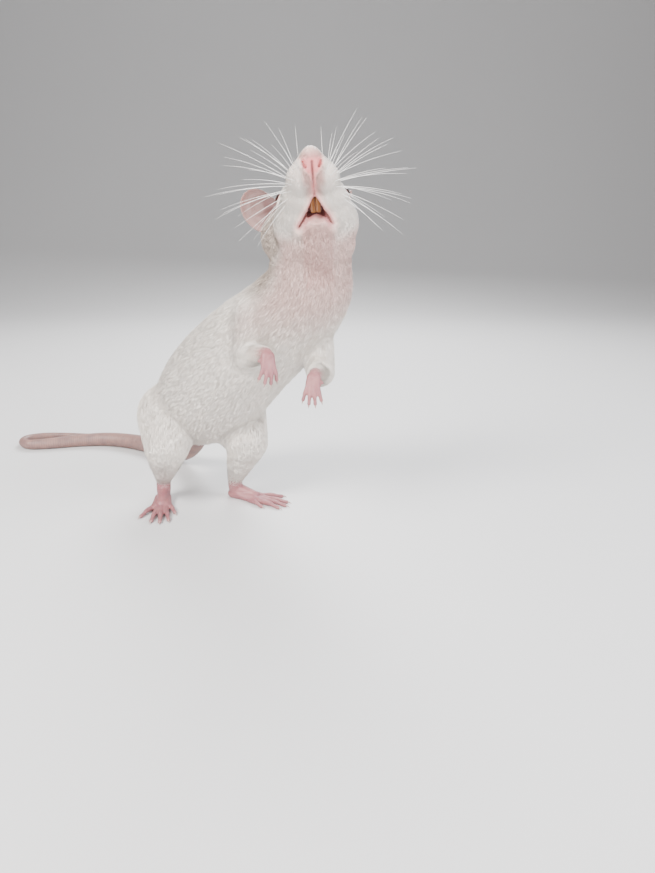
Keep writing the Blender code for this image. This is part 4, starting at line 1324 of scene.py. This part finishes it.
eyeObjects = [makeEye("eye_ball_right", -1), makeEye("eye_ball_left", 1)]
toothObjects = [makeIncisor("tooth_right", -1), makeIncisor("tooth_left", 1)]
clawObjects = [makeClaws("claws_hind", "hind"), makeClaws("claws_fore", "fore")]
print("whiskers, eyes, teeth and claws made")


# Materials


def mathNode(operation, swapped=False):  # the method that adds a Math node on two values
    def add(self, other):
        values = {0: other, 1: self} if swapped else {0: self, 1: other}
        return self.finish.node("ShaderNodeMath", {"operation": operation}, values)

    return add


class Socket:  # an output of a node, on which sums add their Math nodes
    def __init__(self, finish, out):
        self.finish = finish
        self.out = out

    __add__ = mathNode("ADD")
    __sub__ = mathNode("SUBTRACT")
    __rsub__ = mathNode("SUBTRACT", swapped=True)
    __mul__ = mathNode("MULTIPLY")


class Finish:  # a material, its shader, and the one method that adds nodes
    def __init__(self, name, **sockets):
        self.material = bpy.data.materials.new(name)
        self.material.use_nodes = True
        self.tree = self.material.node_tree
        self.shader = self.tree.nodes["Principled BSDF"]
        for key, value in sockets.items():
            self.shader.inputs[key].default_value = value

    def node(self, kind, settings, inputs, output=0):
        made = self.tree.nodes.new(kind)
        for key, value in settings.items():
            setattr(made, key, value)
        for key, value in inputs.items():
            if isinstance(value, Socket):
                self.tree.links.new(value.out, made.inputs[key])
            else:
                made.inputs[key].default_value = value
        return Socket(self, made.outputs[output])

    def value(self, name):
        return self.node("ShaderNodeAttribute", {"attribute_name": name}, {}, "Fac")

    def noise(self, scale, detail=3.0):
        place = self.node("ShaderNodeTexCoord", {}, {}, "Object")
        inputs = {"Vector": place, "Scale": scale, "Detail": detail}
        return self.node("ShaderNodeTexNoise", {}, inputs, "Fac")

    def mix(self, factor, first, second):
        inputs = {"Factor": factor, 6: first, 7: second}
        for key in (6, 7):
            if isinstance(inputs[key], tuple):
                inputs[key] = (*inputs[key], 1.0)
        return self.node("ShaderNodeMix", {"data_type": "RGBA"}, inputs, 2)

    def clamp(self, value):
        return self.node("ShaderNodeClamp", {}, {"Value": value})

    def bump(self, height, strength, distance):
        inputs = {"Height": height, "Strength": strength, "Distance": distance}
        return self.node("ShaderNodeBump", {}, inputs)

    def link(self, key, value):
        self.tree.links.new(value.out, self.shader.inputs[key])


furColours = {
    "white": (0.88, 0.84, 0.79),
    "cream": (0.82, 0.74, 0.66),
    "greyTan": (0.27, 0.195, 0.155),
    "greyTanLight": (0.42, 0.33, 0.27),
    "blush": (0.50, 0.245, 0.22),
}
skinColours = {
    "nose": (0.60, 0.18, 0.18),
    "lips": (0.32, 0.09, 0.095),
    # painted shade: near-black red standing in for the shade inside the mouth, the nostrils, the
    # cleft and the corner creases
    "mouth": (0.10, 0.010, 0.010),
    "feet": (0.21, 0.062, 0.078),
    "feetPale": (0.31, 0.12, 0.125),
    "ear": (0.29, 0.18, 0.168),
    # painted shade in the hollow of the ear
    "earHollowShade": (0.20, 0.095, 0.092),
    "tail": (0.145, 0.08, 0.078),
    "tailPink": (0.27, 0.145, 0.12),
    # painted shade in the grooves between the tail's rings of scales
    "tailGrooveShade": (0.07, 0.04, 0.038),
}


def furColour(finish):
    # White, turning to grey-tan over nape, shoulders and back, and to pink where the coat is thin
    mottle = finish.noise(420.0, 2.0)
    white = finish.mix(mottle, furColours["white"], furColours["cream"])
    greyTan = finish.mix(finish.noise(260.0, 2.0), furColours["greyTan"], furColours["greyTanLight"])
    colour = finish.mix(finish.value("greyTan") * 0.9, white, greyTan)
    return finish.mix(finish.value("blush") * 0.9, colour, furColours["blush"])


def coatFinish():
    # The tufts' own shading is eased toward the skin's, as fine hairs share their light
    finish = Finish("fur", **{"Roughness": 0.7, "Specular IOR Level": 0.3})
    colour = finish.mix(finish.value("tint") * 0.2, furColour(finish), (0.94, 0.91, 0.87))
    finish.link("Base Color", colour)
    lay = finish.node("ShaderNodeAttribute", {"attribute_name": "lay"}, {}, "Vector")
    own = finish.node("ShaderNodeNewGeometry", {}, {}, "Normal")
    inputs = {0: lay, 1: (0.9, 0.9, 0.9), 2: own}
    both = finish.node("ShaderNodeVectorMath", {"operation": "MULTIPLY_ADD"}, inputs)
    eased = finish.node("ShaderNodeVectorMath", {"operation": "NORMALIZE"}, {0: both})
    finish.link("Normal", eased)
    return finish.material


def skinFinish():
    depth = {"Subsurface Radius": (1.0, 0.35, 0.22), "Subsurface Scale": 0.0012}
    finish = Finish("skin", **{"Roughness": 0.5, "Subsurface Weight": 0.12, **depth})
    fine = finish.noise(900.0, 3.0)
    blotch = finish.noise(240.0, 2.0)
    under = finish.mix(0.35, furColour(finish), (0.62, 0.40, 0.35))
    patches = finish.clamp(blotch * 2.2 - 0.6)
    feet = finish.mix(patches, skinColours["feet"], skinColours["feetPale"])
    # the ear darkens toward the depth of its cup: painted shade
    ear = finish.mix(finish.value("earHollowShade"), skinColours["ear"], skinColours["earHollowShade"])
    colour = finish.mix(finish.value("ear"), under, ear)
    colour = finish.mix(finish.value("feet"), colour, feet)
    colour = finish.mix(finish.value("lips"), colour, skinColours["lips"])
    colour = finish.mix(finish.value("nose"), colour, skinColours["nose"])
    # painted shade in the mouth, the nostrils, the cleft and the creases at the mouth's corners
    colour = finish.mix(finish.value("shadedInside"), colour, skinColours["mouth"])
    patches = finish.clamp(blotch * 2.0 - 0.5)
    tailHue = finish.mix(patches, skinColours["tail"], skinColours["tailPink"])
    rings = finish.value("tailRun") * (1 / tail["ringWidth"])
    ring = finish.node("ShaderNodeMath", {"operation": "FRACT"}, {0: rings})
    # painted shade: each ring of scales is darkened at its groove
    tailHue = finish.mix(finish.clamp(1 - ring * 3) * 0.45, tailHue, skinColours["tailGrooveShade"])
    colour = finish.mix(finish.value("tail"), colour, tailHue)
    colour = finish.mix(fine * 0.08, colour, (0.85, 0.70, 0.66))
    height = fine * 0.5 + ring * finish.value("tail") * 0.9
    finish.link("Base Color", colour)
    finish.link("Normal", finish.bump(height, 0.4, 0.00025))
    return finish.material


plainLooks = {  # two colours, the size of their mottling, and what else the shader is given
    "eye": ((0.012, 0.004, 0.004), (0.03, 0.008, 0.007), 500.0, {"Coat Weight": 1.0}, 0.04),
    # the incisors' own orange-brown, darkened further as painted shade from the mouth
    "shadedEnamel": ((0.08, 0.024, 0.005), (0.13, 0.046, 0.01), 900.0, {"Specular IOR Level": 0.2}, 0.45),
    "horn": ((0.33, 0.205, 0.185), (0.44, 0.30, 0.265), 1500.0, {}, 0.4),
    "whisker": ((0.86, 0.85, 0.83), (0.95, 0.94, 0.92), 300.0, {}, 0.35),
}


def plainFinish(name):
    first, second, scale, sockets, roughness = plainLooks[name]
    finish = Finish(name, Roughness=roughness, **sockets)
    finish.link("Base Color", finish.mix(finish.noise(scale, 2.0), first, second))
    return finish.material


# Each look with its slot and its pieces, all of which ride on the one body
for material, slot, pieces in (
    (coatFinish(), "white_fur", coatPieces),
    (skinFinish(), "pink_skin", [skinObject]),
    (plainFinish("whisker"), "white_fur", [whiskerObject]),
    (plainFinish("eye"), "dark_eye", eyeObjects),
    (plainFinish("shadedEnamel"), "incisor", toothObjects),
    (plainFinish("horn"), "pink_skin", clawObjects),
):
    for piece in pieces:
        piece.data.materials.append(material)
        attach(piece, "root")
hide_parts(*fleshNodes, *otherFlesh)
for piece, node in zip(eyeObjects, ("eye_right", "eye_left")):
    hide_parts(node)
for piece, node in zip(toothObjects, ("incisor_right", "incisor_left")):
    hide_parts(node)
print("materials and bodies set")


# Floor, light and camera
stage = {
    "floor": 3.0,  # metres from the middle to each edge
    "wall": 0.5,  # where the floor starts to curve up behind
    "bend": 0.7,
    "camera": (50.0, -268.0, 117.0),  # millimetres in the stance
    "tilt": 18.0,  # degrees below level
    "lens": 700 / 873 * 36,
    "target": (0, 0, 0.07),  # metres, where the lights point
    "world": ((0.78, 0.77, 0.77, 1), 0.42),
    "lights": (  # place in millimetres, watts, size in metres, colour
        ((-300, -330, 480), 8.5, 0.26, (1.0, 0.97, 0.93)),
        ((110, -480, 60), 4.5, 0.40, (1.0, 0.95, 0.91)),
        ((430, -180, 300), 3.5, 0.35, (0.93, 0.96, 1.0)),
        ((60, 420, 420), 6.0, 0.30, (1.0, 1.0, 1.0)),
    ),
}


def makeStage():
    half, turn = stage["floor"] / millimetre, np.linspace(0, math.pi / 2, 24)
    bend = stage["bend"] / millimetre
    back = stage["wall"] / millimetre + bend * np.sin(turn)
    rise = bend * (1 - np.cos(turn))
    profile = np.column_stack([np.concatenate([[-half], back, back[-1:]]), [0, *rise, half]])
    sheet = [np.insert(profile, 0, x, axis=1) for x in (-half, half)]
    count = len(profile)
    step = np.arange(count - 1)
    quads = np.column_stack([step, step + count, step + count + 1, step + 1])
    floor = makeObject("floor", np.vstack(sheet), quads)
    finish = Finish("floor", Roughness=0.6)
    grey = finish.mix(finish.noise(3.0), (0.60, 0.60, 0.61), (0.63, 0.63, 0.64))
    finish.link("Base Color", grey)
    floor.data.materials.append(finish.material)
    scene = bpy.context.scene
    for spot, power, size, colour in stage["lights"]:
        lamp = bpy.data.lights.new("softbox", "AREA")
        lamp.energy = power
        lamp.size = size
        lamp.color = colour
        obj = bpy.data.objects.new("softbox", lamp)
        obj.location = Vector(spot) * millimetre
        toward = Vector(stage["target"]) - obj.location
        obj.rotation_euler = toward.to_track_quat("-Z", "Y").to_euler()
        scene.collection.objects.link(obj)
    scene.world = bpy.data.worlds.new("studio")
    scene.world.use_nodes = True
    sky = scene.world.node_tree.nodes["Background"].inputs
    sky["Color"].default_value, sky["Strength"].default_value = stage["world"]
    camera = bpy.data.objects.new("camera", bpy.data.cameras.new("camera"))
    camera.location = Vector(stance([stage["camera"]])[0] * millimetre)
    camera.rotation_euler = (math.radians(90 - stage["tilt"]), 0, 0)
    camera.data.sensor_width = 36
    camera.data.lens = stage["lens"]
    camera.data.clip_start = 0.005
    scene.collection.objects.link(camera)
    scene.camera = camera


makeStage()
print("stage set")
